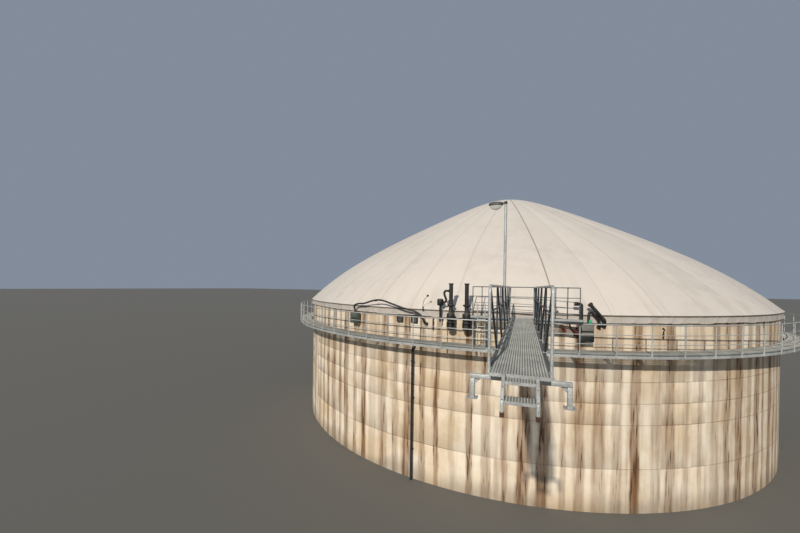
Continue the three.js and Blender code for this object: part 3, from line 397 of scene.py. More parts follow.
def concrete_material():
    material, tree, surface = new_material("stained_concrete")
    place = placed(tree, round_the_tank)
    soft = placed(tree, weather, Size=0.7)
    fine = placed(tree, weather, Size=2.6)
    coordinates = new_node(tree, "ShaderNodeTexCoord").outputs["Object"]
    broken = maths(tree, "MULTIPLY_ADD", fine["Streaks"], 0.40, 0.60)
    stain = maths(tree, "MULTIPLY", stain_columns(tree, place["Degrees"], coordinates), broken)
    brown = maths(tree, "MINIMUM", maths(tree, "ADD", stain, faint(tree, soft["Streaks"], 0.40)), 1.0)
    darkest = ease(tree, maths(tree, "MULTIPLY", stain, fine["Streaks"]), 0.24, 0.70)
    uneven_height = maths(tree, "MULTIPLY_ADD", soft["Clouds"], 0.5, place["Height"])
    colour = layered(
        tree, DRY_CREAM,
        (soft["Clouds"], DAMP_CREAM),
        (brown, RUN_OFF_BROWN),
        (faint(tree, darkest, 0.8), DARKEST_RUN),
        (faint(tree, fine["Specks"], 0.16), SPECK_BROWN),
        (ease(tree, uneven_height, *SPLASH_HEIGHTS, 0.5, 0.0), SPLASH_BROWN),
        (joint_lines(tree, place["Height"], soft["Clouds"]), JOINT_BROWN),
    )
    coated(tree, surface, colour, maths(tree, "MULTIPLY_ADD", brown, -0.12, 0.92))
    pores = noise(tree, coordinates, 45.0, 4.0, 0.7)
    relief = maths(tree, "MULTIPLY_ADD", noise(tree, coordinates, 3.0, 2.0), 2.0, pores)
    bumped(tree, surface, relief, 0.35, 0.006)
    return material


concrete = concrete_material()
print("made", concrete.name, "with", len(concrete.node_tree.nodes), "nodes")

# %% [markdown]
# ## Coated membrane
# The roof is polyester cloth with a smooth off-white coating. It is welded from narrow gores that differ a
# little in tone. Dirt settles in thin streaks down the slope and gathers in grey smudges, strongest near
# the crown and just above the hem. All of that is worked out from the angle round the axis.

# %% The membrane
GORE_DEGREES = 7.5
SEAM_PHASE = 9.7
RUNS_ROUND, RUNS_DOWN = 26.0, 0.35
HEM_GRIME = (7.1, 8.6)
CROWN_GRIME = (0.6, 3.2)
GORE_SHADE = srgb(203, 196, 186)
RUN_GREY = srgb(150, 138, 122)
SMUDGE_GREY = srgb(140, 134, 128)
SPECK_GREY = srgb(110, 104, 96)


def runs_down_the_slope(tree, coordinates, height):
    """Thin streaks: noise that is fine round the tank and drawn out along the height."""
    flat = vector_maths(tree, "MULTIPLY", {0: coordinates, 1: (1.0, 1.0, 0.0)})
    ray = vector_maths(tree, "NORMALIZE", {0: flat})
    spread = vector_maths(tree, "SCALE", {0: ray, "Scale": RUNS_ROUND})
    lift = new_node(tree, "ShaderNodeCombineXYZ", {"Z": faint(tree, height, RUNS_DOWN)})
    along = vector_maths(tree, "ADD", {0: spread, 1: lift.outputs["Vector"]})
    return ease(tree, noise(tree, along, 1.0, 5.0, 0.65), 0.48, 0.80)


def membrane_material(name, clean, grime_share=1.0):
    material, tree, surface = new_material(name)
    place = placed(tree, round_the_tank)
    soft = placed(tree, weather, Size=0.33)
    fine = placed(tree, weather, Size=1.7)
    coordinates = new_node(tree, "ShaderNodeTexCoord").outputs["Object"]
    gores = maths(tree, "MULTIPLY_ADD", place["Degrees"], 1 / GORE_DEGREES, -SEAM_PHASE / GORE_DEGREES)
    gore = maths(tree, "FLOOR", gores)
    draw = new_node(tree, "ShaderNodeTexWhiteNoise", {"W": gore}, noise_dimensions="1D").outputs["Value"]
    low = ease(tree, place["Height"], *HEM_GRIME, 1.0, 0.25)
    crown = ease(tree, place["Radius"], *CROWN_GRIME, 1.0, 0.0)
    runs = runs_down_the_slope(tree, coordinates, place["Height"])
    grimy_runs = maths(tree, "MULTIPLY", runs, maths(tree, "MAXIMUM", low, crown))
    patches = maths(tree, "MULTIPLY", soft["Clouds"], fine["Clouds"])
    colour = layered(
        tree, clean,
        (faint(tree, draw, 0.32), GORE_SHADE),
        (faint(tree, grimy_runs, 0.34 * grime_share), RUN_GREY),
        (faint(tree, patches, 0.20 * grime_share), SMUDGE_GREY),
        (faint(tree, fine["Specks"], 0.05), SPECK_GREY),
    )
    coated(tree, surface, colour, maths(tree, "MULTIPLY_ADD", fine["Clouds"], 0.14, 0.48))
    bumped(tree, surface, noise(tree, coordinates, 1.3, 3.0, 0.5), 0.25, 0.03)
    return material


membrane = membrane_material("coated_membrane", srgb(226, 216, 204))
seam_cloth = membrane_material("welded_seam", srgb(214, 205, 193), 0.7)
apron_cloth = membrane_material("apron_cloth", srgb(196, 188, 178), 1.5)
print("made", membrane.name, seam_cloth.name, apron_cloth.name)

# %% [markdown]
# ## Zinc, plastic and paint
# Hot-dip zinc is dull silver with crystals of slightly different brightness, and it greys where it is
# handled least. The dark plastics and paints have bleached a little and carry dust on top. One function
# makes each kind, and the pieces get their own colours from it. A darker copy of the zinc is painted
# shade, for steel that stands in shade.

# %% Zinc and paint
STREAK_GREY = srgb(120, 118, 110)
ZINC_DUST = srgb(150, 143, 128)
PAINT_RUNS = srgb(128, 118, 102)
PAINT_DUST = srgb(150, 140, 122)


def zinc_material(name, dark, light, metal=0.75, rough=0.42, grime=0.35, crystal=0.018):
    material, tree, surface = new_material(name)
    surface.inputs["Metallic"].default_value = metal
    crystals = placed(tree, zinc, Crystal=crystal)
    dusty = placed(tree, dust, Amount=grime)["Dust"]
    soft = placed(tree, weather, Size=2.2)
    patina = faint(tree, crystals["Patina"], 0.5)
    colour = layered(
        tree, dark,
        (maths(tree, "MULTIPLY_ADD", crystals["Crystals"], 0.45, patina), light),
        (faint(tree, soft["Streaks"], 0.25), STREAK_GREY),
        (dusty, ZINC_DUST),
    )
    sheen = maths(tree, "MULTIPLY_ADD", crystals["Crystals"], 0.12, rough)
    coated(tree, surface, colour, maths(tree, "MULTIPLY_ADD", dusty, 0.3, sheen))
    bumped(tree, surface, crystals["Crystals"], 0.12, 0.001)
    return material


def painted_material(name, fresh, faded, rough=0.5, metal=0.0, grime=0.4, grain=90.0):
    material, tree, surface = new_material(name)
    surface.inputs["Metallic"].default_value = metal
    dusty = placed(tree, dust, Amount=grime)["Dust"]
    soft = placed(tree, weather, Size=3.0)
    colour = layered(
        tree, fresh,
        (faint(tree, soft["Clouds"], 0.55), faded),
        (faint(tree, soft["Streaks"], 0.22), PAINT_RUNS),
        (dusty, PAINT_DUST),
    )
    dull = maths(tree, "MULTIPLY_ADD", soft["Clouds"], 0.15, rough)
    coated(tree, surface, colour, maths(tree, "MULTIPLY_ADD", dusty, 0.25, dull))
    coordinates = new_node(tree, "ShaderNodeTexCoord").outputs["Object"]
    bumped(tree, surface, noise(tree, coordinates, grain, 3.0), 0.15, 0.001)
    return material


# %% Rust and glass
RUST_FLAKE = srgb(94, 62, 44)
RUST_DARK = srgb(58, 42, 34)
RUST_BRIGHT = srgb(140, 90, 56)
GLASS_GRIME = srgb(150, 145, 132)


def rust_material(name):
    material, tree, surface = new_material(name)
    soft = placed(tree, weather, Size=9.0)
    colour = layered(
        tree, RUST_FLAKE, (soft["Clouds"], RUST_DARK), (faint(tree, soft["Specks"], 0.6), RUST_BRIGHT)
    )
    coated(tree, surface, colour, maths(tree, "MULTIPLY_ADD", soft["Clouds"], 0.1, 0.82))
    bumped(tree, surface, soft["Specks"], 0.5, 0.002)
    return material


def glass_material(name, clean):
    material, tree, surface = new_material(name)
    surface.inputs["Coat Weight"].default_value = 0.6
    clouds = placed(tree, weather, Size=6.0)["Clouds"]
    colour = layered(tree, clean, (faint(tree, clouds, 0.35), GLASS_GRIME))
    coated(tree, surface, colour, maths(tree, "MULTIPLY_ADD", clouds, 0.3, 0.08))
    return material


# %% Every finish
steel = zinc_material("galvanised_steel", srgb(174, 176, 174), srgb(222, 224, 221), 0.4)
# The darker steel is the same galvanised zinc painted darker, as painted shade for steel in shade.
steel_in_painted_shade = zinc_material("steel_painted_as_shade", srgb(70, 77, 84), srgb(116, 122, 126), 0.65, 0.45)
grid_steel = zinc_material("grating_steel", srgb(168, 171, 167), srgb(210, 212, 207), 0.3, 0.5, 0.3)
# The grating's bearing bars are painted darker than its rods: painted shade between the bars.
grating_bar_shade_paint = zinc_material("grating_bars_painted_shade", srgb(120, 122, 114), srgb(154, 156, 146), 0.4, 0.5, 0.35)
stained_rail = zinc_material("stained_rail", srgb(124, 114, 102), srgb(156, 146, 133), 0.4, 0.55, 0.3)
black_plastic = painted_material("black_plastic", srgb(24, 24, 26), srgb(48, 48, 48))
dark_housing = painted_material("dark_housing", srgb(38, 42, 46), srgb(66, 70, 72), 0.42, 0.3)
cabinet_paint = painted_material("cabinet_paint", srgb(128, 127, 121), srgb(154, 152, 144), 0.45, 0.2)
blower_paint = painted_material("blower_paint", srgb(74, 84, 78), srgb(104, 112, 104), 0.55, 0.1, 0.6)
green_plastic = painted_material("green_plastic", srgb(36, 166, 112), srgb(88, 198, 150), 0.4, 0.0, 0.2)
red_paint = painted_material("red_paint", srgb(188, 34, 76), srgb(202, 90, 108), 0.45)
strap_cloth = painted_material("strap_cloth", srgb(142, 134, 124), srgb(166, 158, 146), 0.8, 0.0, 0.3, 400.0)
rust = rust_material("rusty_iron")
lamp_glass = glass_material("lamp_glass", srgb(206, 208, 204))
pane_glass = glass_material("pane_glass", srgb(58, 66, 70))
print("materials:", len(bpy.data.materials))

# %% [markdown]
# ## Everything the frame brings gets a finish
# Every CAD piece takes a material here by its slot. Most give way to a finer piece further down. The ones
# that are already the right shape, such as the floor slab inside the wall, stay as they are.

# %% Dress the CAD nodes
SLOT_FINISH = {
    "concrete": concrete,
    "membrane": membrane,
    "strap_fabric": strap_cloth,
    "galvanised_steel": steel,
    "grating": grid_steel,
    "dark_housing": dark_housing,
    "black_plastic": black_plastic,
    "blower_paint": blower_paint,
    "cabinet_paint": cabinet_paint,
    "green_plastic": green_plastic,
    "red_paint": red_paint,
}
for part in frame["record"]["subparts"]:
    node = bpy.data.objects[part["node"]]
    node.data.materials.clear()
    node.data.materials.append(SLOT_FINISH[part["material_slot"]])
# These frame pieces take the darker steel, which is painted shade.
for name in ("gangway_frame", "platform_frame", "membrane_clamp_rail"):
    bpy.data.objects[name].data.materials[0] = steel_in_painted_shade

# %% [markdown]
# ## Tools for the hands
# Every piece starts from a primitive and is shaped with the same few moves: a box with eased edges, a round
# bar, a tube along a curve, a profile spun about an axis, and a flat plate cut to an outline. What repeats
# is made once and arrayed, along a line or round the tank's axis. The last tool puts the finish on.

# %% Selecting, applying and joining
def only(piece):
    """Selects one piece and nothing else."""
    deselect()
    piece.select_set(True)
    bpy.context.view_layer.objects.active = piece
    return piece


def settled(piece):
    """Puts the place, turn and size into the mesh, so that the origin is the tank's."""
    only(piece)
    bpy.ops.object.transform_apply(location=True, rotation=True, scale=True)
    return piece


def modified(piece, kind, **settings):
    """Adds one modifier with its settings and applies it."""
    only(piece)
    modifier = piece.modifiers.new(kind.lower(), kind)
    for key, value in settings.items():
        setattr(modifier, key, value)
    bpy.ops.object.modifier_apply(modifier=modifier.name)
    return piece


def joined(pieces):
    only(pieces[0])
    for piece in pieces:
        piece.select_set(True)
    bpy.ops.object.join()
    return bpy.context.object


def moved(piece, matrix):
    piece.data.transform(matrix)
    return piece


# %% Turning and repeating
def turn_to(azimuth):
    """The turn about the tank's axis from the gangway's side to an azimuth."""
    return Matrix.Rotation(math.radians(azimuth), 4, "Z")


def around(azimuth, radius, height):
    angle = math.radians(azimuth)
    return Vector((radius * math.sin(angle), -radius * math.cos(angle), height))


def array_along(piece, count, offset):
    return modified(
        piece, "ARRAY", count=count, use_relative_offset=False,
        use_constant_offset=True, constant_offset_displace=offset,
    )


def array_round(piece, count, step):
    """Copies round the tank's axis, step degrees apart."""
    deselect()
    bpy.ops.object.empty_add(location=(0, 0, 0), rotation=(0, 0, math.radians(step)))
    turn = bpy.context.object
    modified(
        piece, "ARRAY", count=count, use_relative_offset=False,
        use_object_offset=True, offset_object=turn,
    )
    bpy.data.objects.remove(turn)
    return piece


# %% The finish of a piece
def painted(piece, material):
    piece.data.materials.clear()
    piece.data.materials.append(material)
    return piece


def dress(piece, name, nodes=(), material=None, angle=35):
    """The last step for a piece: its name, finish, shading, body, and the node that it stands for."""
    piece.name = name
    piece.data.name = name
    if material:
        painted(piece, material)
    only(piece)
    bpy.ops.object.shade_smooth_by_angle(angle=math.radians(angle))
    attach(piece, "root")
    if nodes:
        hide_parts(*nodes)
    triangles = sum(len(face.vertices) - 2 for face in piece.data.polygons)
    print(f"{name}: {triangles} triangles")
    return piece


# %% Boxes, rods and tubes
def block(low, high, bevel=0.0, segments=1):
    """A box between two opposite corners, with eased edges. A negative size would turn it inside out."""
    low, high = Vector(map(min, low, high)), Vector(map(max, low, high))
    deselect()
    bpy.ops.mesh.primitive_cube_add(size=1, location=(low + high) / 2)
    piece = bpy.context.object
    piece.scale = high - low
    settled(piece)
    return modified(piece, "BEVEL", width=bevel, segments=segments) if bevel else piece


def rod(start, end, radius, end_radius=None, sides=12):
    """A round bar between two points, the same all along or tapered."""
    start, end = Vector(start), Vector(end)
    along = end - start
    deselect()
    bpy.ops.mesh.primitive_cone_add(
        vertices=sides, radius1=radius, radius2=radius if end_radius is None else end_radius,
        depth=along.length, location=(start + end) / 2, rotation=along.to_track_quat("Z", "Y").to_euler(),
    )
    return settled(bpy.context.object)


def select_all():
    bpy.ops.mesh.select_all(action="SELECT")


def closed_up(piece):
    """Leaves edit mode with doubles merged and every face turned outwards."""
    select_all()
    bpy.ops.mesh.remove_doubles(threshold=0.0001)
    select_all()
    bpy.ops.mesh.normals_make_consistent(inside=False)
    bpy.ops.object.mode_set(mode="OBJECT")
    return piece


def pipe(points, radius, sides=10, smooth=True, steps=6):
    """A tube along points: a curve with a round bevel, made a mesh with closed ends."""
    deselect()
    bpy.ops.curve.primitive_bezier_curve_add(location=(0, 0, 0))
    route = bpy.context.object
    curve = route.data
    curve.bevel_depth = radius
    curve.bevel_resolution = (sides - 4) // 2
    curve.use_fill_caps = True
    curve.resolution_u = steps if smooth else 1
    spline = curve.splines[0]
    spline.bezier_points.add(len(points) - 2)
    for knot, point in zip(spline.bezier_points, points):
        knot.co = point
        knot.handle_left_type = knot.handle_right_type = "AUTO" if smooth else "VECTOR"
    only(route)
    bpy.ops.object.convert(target="MESH")
    bpy.ops.object.mode_set(mode="EDIT")
    return closed_up(bpy.context.object)


# %% Profiles and plates
def chain(points):
    """A line of vertices, extruded from one point to the next. It is left in edit mode, all selected."""
    deselect()
    bpy.ops.mesh.primitive_plane_add(size=1, location=(0, 0, 0))
    piece = bpy.context.object
    bpy.ops.object.mode_set(mode="EDIT")
    select_all()
    bpy.ops.mesh.merge(type="CENTER")
    bpy.ops.transform.translate(value=points[0])
    for before, after in zip(points, points[1:]):
        bpy.ops.mesh.extrude_vertices_move(TRANSFORM_OT_translate={"value": Vector(after) - Vector(before)})
    select_all()
    return piece


def close_chain(piece):
    """Joins the chain's last vertex to its first with an edge."""
    bpy.ops.object.mode_set(mode="OBJECT")
    last = len(piece.data.vertices) - 1
    for vertex in piece.data.vertices:
        vertex.select = vertex.index in (0, last)
    bpy.ops.object.mode_set(mode="EDIT")
    bpy.ops.mesh.select_mode(type="VERT")
    bpy.ops.mesh.edge_face_add()
    select_all()


def turned(profile, steps, start=0.0, sweep=360.0, closed=True):
    """A profile of (radius, height) spun about the upright axis, from azimuth start over sweep degrees."""
    piece = chain([around(start, radius, height) for radius, height in profile])
    if closed:
        close_chain(piece)
    bpy.ops.mesh.spin(steps=steps, angle=math.radians(sweep), center=(0, 0, 0), axis=(0, 0, 1))
    if closed and sweep < 360:
        select_all()
        bpy.ops.mesh.remove_doubles(threshold=0.0001)
        select_all()
        bpy.ops.mesh.fill_holes(sides=0)
    return closed_up(piece)


def plate(outline, thickness, bevel=0.0):
    """A flat plate: its outline filled, then extruded by a vector."""
    piece = chain(outline)
    bpy.ops.mesh.edge_face_add()
    bpy.ops.mesh.extrude_region_move(TRANSFORM_OT_translate={"value": thickness})
    closed_up(piece)
    return modified(piece, "BEVEL", width=bevel, segments=1) if bevel else piece


def bolt(place, out, radius=0.012, height=0.010):
    """A hexagon head that stands off a surface along the vector out."""
    place, out = Vector(place), Vector(out).normalized()
    return rod(place, place + out * height, radius, radius * 0.92, sides=6)


# %% [markdown]
# ## The concrete wall
# The real wall is cast in lifts inside curved forms, so it is a true cylinder with a shallow groove where
# one lift meets the next. The frame's wall has flats. A profile with the grooves in it, spun about the
# axis, gives the round wall in one move, and stays a few millimetres behind the frame's corners.

# %% The wall
WALL_STEPS = 288
WALL_FACE = 13.990
WALL_INSIDE = 13.750
WALL_TOP = 6.940
GROOVE_DEPTH = 0.007
GROOVE_HALF = 0.010

wall_profile = [(WALL_INSIDE, 0.0), (WALL_FACE, 0.0)]
for joint in POUR_JOINTS:
    wall_profile += [
        (WALL_FACE, joint - GROOVE_HALF),
        (WALL_FACE - GROOVE_DEPTH, joint),
        (WALL_FACE, joint + GROOVE_HALF),
    ]
wall_profile += [(WALL_FACE, WALL_TOP), (WALL_INSIDE, WALL_TOP)]
wall = turned(wall_profile, WALL_STEPS)
dress(wall, "concrete_wall", ["tank_wall"], concrete)

# %% [markdown]
# ## The membrane roof
# Air under the cloth holds it in a cone that is rounded at the crown and swells a little above the eaves.
# Between the welded seams it bulges, so each seam lies in a slight valley. A simulation would only find
# the shape that the photograph already shows, so the meridian is a formula, spun about the axis, and the
# vertices then sink towards the seams. The seams are flat welts on top, every 15 degrees a wide one.

# %% The shape of the cloth
EAVES = 7.0
ROOF_RADIUS = 14.080
ROOF_RISE = 7.375
CONE_SHARE = 0.86
BULGE_POWER = 6.9
CROWN_ROUNDNESS = 0.144
WIDE_SEAM_VALLEY, WIDE_SHARPNESS = 0.030, 9.0
NARROW_SEAM_VALLEY, NARROW_SHARPNESS = 0.012, 12.0
VALLEY_SPREAD = 0.6


def roof_height(radius):
    """The height of the cloth above the ground, before the seams draw it down."""
    share = min(radius / ROOF_RADIUS, 1.0)
    reach = math.hypot(1, CROWN_ROUNDNESS) - CROWN_ROUNDNESS
    slope = 1 - (math.hypot(share, CROWN_ROUNDNESS) - CROWN_ROUNDNESS) / reach
    swell = 1 - share ** BULGE_POWER
    return EAVES + ROOF_RISE * (CONE_SHARE * slope + (1 - CONE_SHARE) * swell)


def valley_share(radius):
    """Seams draw the cloth down most half way, and not at the crown or the hem."""
    return max(0.0, math.sin(math.pi * min(radius / ROOF_RADIUS, 1.0))) ** VALLEY_SPREAD


def bell(off, sharpness):
    """1 in the middle of a seam or a fold, falling off to 0 on both sides."""
    return math.exp(-((off * sharpness) ** 2))


def valley(radius, azimuth):
    step = 2 * GORE_DEGREES
    off = abs((azimuth - SEAM_PHASE + step / 2) % step - step / 2) / step
    wide = bell(off, WIDE_SHARPNESS) * WIDE_SEAM_VALLEY
    narrow = bell(0.5 - off, NARROW_SHARPNESS) * NARROW_SEAM_VALLEY
    return valley_share(radius) * (wide + narrow)


def meridian(inner, outer, count, lift=0.0, drawn=0.0):
    """Points (radius, height) down the slope, closer together where it bends most."""
    line = []
    for i in range(count + 1):
        share = i / count
        radius = inner + (outer - inner) * (share + 0.12 * math.sin(2 * math.pi * share) / 2)
        line.append((radius, roof_height(radius) + lift - drawn * valley_share(radius)))
    return line


# %% The cloth
CLOTH = 0.004
CLOTH_START = 0.30
CLOTH_ROWS = 54
CLOTH_SUNK = 0.002
ROOF_STEPS = 432
slope = meridian(CLOTH_START, ROOF_RADIUS, CLOTH_ROWS, -CLOTH_SUNK)
roof = turned(slope, ROOF_STEPS, SEAM_PHASE, closed=False)
for vertex in roof.data.vertices:
    x, y, _ = vertex.co
    vertex.co.z -= valley(math.hypot(x, y), math.degrees(math.atan2(x, -y)))
modified(roof, "SOLIDIFY", thickness=CLOTH, offset=-1)
dress(roof, "membrane_cloth", ["membrane_roof"], membrane, 60)

# %% Welts over the seams, and the strap
WELT_WIDE = 0.085
WELT_NARROW = 0.045
WELT_THICK = 0.006
WELT_ROWS = 48
WIDE_SEAMS = 24
STRAP_WIDTH, STRAP_THICK = 0.034, 0.012


def welt(width, thick, lift, drawn, inner=0.32, outer=ROOF_RADIUS - 0.01):
    """A ribbon down one meridian, on the gangway's side."""
    line = meridian(inner, outer, WELT_ROWS, lift, drawn)
    piece = chain([Vector((-width / 2, -radius, height)) for radius, height in line])
    bpy.ops.mesh.extrude_region_move(TRANSFORM_OT_translate={"value": (width, 0, 0)})
    closed_up(piece)
    if piece.data.polygons[0].normal.z < 0:
        piece.data.flip_normals()
    return modified(piece, "SOLIDIFY", thickness=thick, offset=1)


for name, azimuth, width, thick, drawn, inner in (
    ("wide_seams", SEAM_PHASE, WELT_WIDE, WELT_THICK, WIDE_SEAM_VALLEY, 0.9),
    ("narrow_seams", SEAM_PHASE + GORE_DEGREES, WELT_NARROW, WELT_THICK / 2, NARROW_SEAM_VALLEY, 1.6),
):
    one = moved(welt(width, thick, 0.0, drawn, inner), turn_to(azimuth))
    dress(array_round(one, WIDE_SEAMS, 2 * GORE_DEGREES), name, (), seam_cloth)

strap = joined([
    welt(STRAP_WIDTH, STRAP_THICK, WELT_THICK, WIDE_SEAM_VALLEY, 0.34, 14.05),
    rod((0, -14.02, 7.03), (0, -14.09, 7.10), 0.055, 0.050, 16),
    block((-0.035, -13.93, 7.16), (0.035, -13.86, 7.22), 0.008),
])
dress(moved(strap, turn_to(SEAM_PHASE)), "roof_strap_cloth", ["roof_strap"], strap_cloth)

# %% [markdown]
# ## Crown, clamp rail and apron
# A cap plate closes the crown, where all the gores meet. Round the eaves a steel rail clamps the cloth with
# a bolt every 0.3 m. A rope sewn into the cloth's hem lies above it as a pale bead. Below hangs an apron,
# cut from the same cloth, that sheds the rain in front of the wall. It is gathered by its fixings, so every
# 0.65 m two folds run down to one point, and its lower edge is wavy. It is a spun band whose vertices are
# then pushed in and out by a rule with seeded chance in it.

# %% Crown cap
CAP_RADIUS = 0.318
cap_top = roof_height(0.0) + 0.022
cap = turned([
    (0.0, cap_top), (0.10, cap_top), (0.12, cap_top - 0.012), (0.27, roof_height(0.27) + 0.016),
    (CAP_RADIUS, roof_height(CAP_RADIUS) + 0.010), (CAP_RADIUS, roof_height(CAP_RADIUS) - 0.006),
    (0.0, roof_height(0.1) - 0.02),
], 48, closed=False)
cap_bolt = bolt((0, -0.295, roof_height(0.295) + 0.011), (0, -0.3, 1), 0.012)
cap = joined([cap, array_round(cap_bolt, 12, 30)])
dress(cap, "crown_cap", ["roof_crown"], seam_cloth)

# %% Clamp rail
RAIL_BACK, RAIL_WEB, RAIL_FACE, RAIL_LIP = 13.820, 14.066, 14.078, 14.094
RAIL_LOW, RAIL_HIGH = 6.940, 7.000
RAIL_BOLTS = 288
rail = turned([
    (RAIL_BACK, RAIL_LOW), (RAIL_FACE, RAIL_LOW), (RAIL_FACE, 6.952), (RAIL_WEB, 6.956), (RAIL_WEB, 6.984),
    (RAIL_FACE, 6.988), (RAIL_LIP, 6.992), (RAIL_LIP, RAIL_HIGH), (RAIL_BACK, RAIL_HIGH),
], WALL_STEPS)
rail_bolt = bolt((0, -RAIL_WEB, (RAIL_LOW + RAIL_HIGH) / 2), (0, -1, 0), 0.011, 0.012)
rail_bolts = array_round(rail_bolt, RAIL_BOLTS, 360 / RAIL_BOLTS)
rail = joined([painted(rail, stained_rail), painted(rail_bolts, steel)])
dress(rail, "clamp_rail", ["membrane_clamp_rail"])

# %% Hem bead
BEAD_RADIUS, BEAD_HEIGHT, BEAD_HALF = 14.084, 6.990, 0.019
BEAD_SIDES = 8


def ring_section(radius, height, half, sides):
    """The corners of a round section that stands at a radius and a height."""
    turns = [2 * math.pi * i / sides for i in range(sides)]
    return [(radius + half * math.cos(turn), height + half * math.sin(turn)) for turn in turns]


bead = turned(ring_section(BEAD_RADIUS, BEAD_HEIGHT, BEAD_HALF, BEAD_SIDES), WALL_STEPS)
dress(bead, "hem_bead", (), membrane, 60)

# %% Apron
APRON_TOP = 6.965
APRON_LOW = 6.700
APRON_RADIUS = 14.050
APRON_ROWS = 9
APRON_FLARE, APRON_HOLLOW = 0.014, 0.006
APRON_THICK = 0.003
BILLOW, CREASE, RIPPLE = 0.014, 0.016, 0.004
EDGE_WAVE, EDGE_PULL = 0.024, 0.012
CREASE_SPREAD, CREASE_SHARPNESS = 0.26, 9.0
FOLDS_PER_QUARTER = 34
STEPS_PER_FOLD = 18
chance = random.Random(11)
fold_draws = [
    (chance.uniform(0.5, 1.0), chance.uniform(-0.18, 0.18), chance.uniform(-0.5, 1.0), chance.random())
    for _ in range(4 * FOLDS_PER_QUARTER)
]


def apron_push(azimuth, down):
    """How far the cloth stands out, and how much its lower edge rises, at an azimuth and a share down."""
    place = (azimuth % 360) * FOLDS_PER_QUARTER / 90
    index = int(place) % len(fold_draws)
    depth, shift, lift, _ = fold_draws[index]
    following = fold_draws[(index + 1) % len(fold_draws)]
    within = place - int(place)
    blend = within * within * (3 - 2 * within)
    spread = CREASE_SPREAD * (1 - down)
    middle = within - 0.5 - shift
    pair = bell(middle - spread, CREASE_SHARPNESS) + bell(middle + spread, CREASE_SHARPNESS)
    crease = min(depth * pair, 1.2)
    billow = math.sin(math.pi * within) * (0.4 + 0.4 * depth)
    ripple = 0.25 * math.sin(6 * math.pi * within + 5 * depth)
    out = BILLOW * billow + CREASE * crease + RIPPLE * ripple
    edge = EDGE_WAVE * (lift * (1 - blend) + following[2] * blend) + EDGE_PULL * crease
    return out * down ** 0.5 + APRON_FLARE * down, edge * down


def apron_quarter(start):
    rows = []
    for i in range(APRON_ROWS + 1):
        share = i / APRON_ROWS
        hollow = APRON_HOLLOW * math.sin(math.pi * share)
        rows.append((APRON_RADIUS - hollow, APRON_TOP + (APRON_LOW - APRON_TOP) * share))
    cloth = turned(rows, FOLDS_PER_QUARTER * STEPS_PER_FOLD, start, 90.0, closed=False)
    for vertex in cloth.data.vertices:
        x, y, z = vertex.co
        radius = math.hypot(x, y)
        down = min(max((APRON_TOP - z) / (APRON_TOP - APRON_LOW), 0.0), 1.0)
        out, edge = apron_push(math.degrees(math.atan2(x, -y)), down)
        vertex.co = Vector((x * (radius + out) / radius, y * (radius + out) / radius, z + edge))
    return modified(cloth, "SOLIDIFY", thickness=APRON_THICK, offset=0)


for index in range(4):
    apron = apron_quarter(90.0 * index)
    covers = ["membrane_apron"] if index == 0 else []
    dress(apron, f"apron_{index + 1}", covers, apron_cloth, 60)

# %% [markdown]
# ## The ring walkway
# Tapered consoles are bolted to the wall at every post, 1.1 m apart, and a rolled edge channel joins their
# ends. The floor between is open grating: flat bars on edge, 34 mm apart, that run out from the wall, with
# thin rods across them. Sunlight falls through it in the photograph, so the bars are real bars here and not
# a picture of bars. One console, one bar and one post are made, and arrays carry them round.

# %% Sizes of the walkway
BAY = 4.5
BAYS = 20
LENGTH_STARTS = [0.55 + 90.0 * i for i in range(4)]
WALK_INNER = 14.090
WALK_EDGE = 14.750
CHANNEL_FACE = 14.770
WALK_TOP = 5.760
CHANNEL_LOW = 5.600
FLOOR_TOP = 5.752
BAR_DEPTH = 0.030
BAR_THICK = 0.004
BARS_PER_BAY = 33
CONSOLE_ROOT = 13.993
CONSOLE_ROOT_LOW = 5.480
CONSOLE_END_LOW = 5.640
CONSOLE_TOP = 5.722
ARC_STEPS = 40


def ring_tube(radius, height, size, start, sweep=90.0, sides=10, steps=ARC_STEPS):
    """A round tube bent round the tank."""
    return turned(ring_section(radius, height, size, sides), steps, start, sweep)


def ring_flat(inner, outer, low, high, start, sweep=90.0):
    """A flat bar or plate bent round the tank."""
    return turned([(inner, low), (outer, low), (outer, high), (inner, high)], ARC_STEPS, start, sweep)


# %% One console
CONSOLE_HALF, CONSOLE_WEB, CONSOLE_FLANGE = 0.030, 0.008, 0.008
CONSOLE_END = CHANNEL_FACE - 0.010
ROOT_HALF, ROOT_THICK, ROOT_TOP = 0.070, 0.012, 5.735


def console():
    """A tapered bracket on the gangway's side: root plate, web, two flanges and four bolts."""
    def fin(left, wide, low_root, low_end, high_end, high_root):
        corners = (
            (CONSOLE_ROOT, low_root), (CONSOLE_END, low_end),
            (CONSOLE_END, high_end), (CONSOLE_ROOT, high_root)
        )
        return plate([(left, -radius, z) for radius, z in corners], (wide, 0, 0))

    web = fin(-CONSOLE_WEB / 2, CONSOLE_WEB, CONSOLE_ROOT_LOW, CONSOLE_END_LOW, CONSOLE_TOP, CONSOLE_TOP)
    top = block(
        (-CONSOLE_HALF, -CONSOLE_END, CONSOLE_TOP - CONSOLE_FLANGE),
        (CONSOLE_HALF, -CONSOLE_ROOT, CONSOLE_TOP),
    )
    low = fin(
        -CONSOLE_HALF, 2 * CONSOLE_HALF, CONSOLE_ROOT_LOW, CONSOLE_END_LOW,
        CONSOLE_END_LOW - CONSOLE_FLANGE, CONSOLE_ROOT_LOW - CONSOLE_FLANGE,
    )
    root = block(
        (-ROOT_HALF, -CONSOLE_ROOT - ROOT_THICK, CONSOLE_ROOT_LOW - 0.03),
        (ROOT_HALF, -CONSOLE_ROOT + 0.004, ROOT_TOP), 0.002,
    )
    bolts = [
        bolt((x, -CONSOLE_ROOT - ROOT_THICK, z), (0, -1, 0), 0.014, 0.012)
        for x in (-0.050, 0.050) for z in (5.49, 5.69)
    ]
    return joined([web, top, low, root, *bolts])


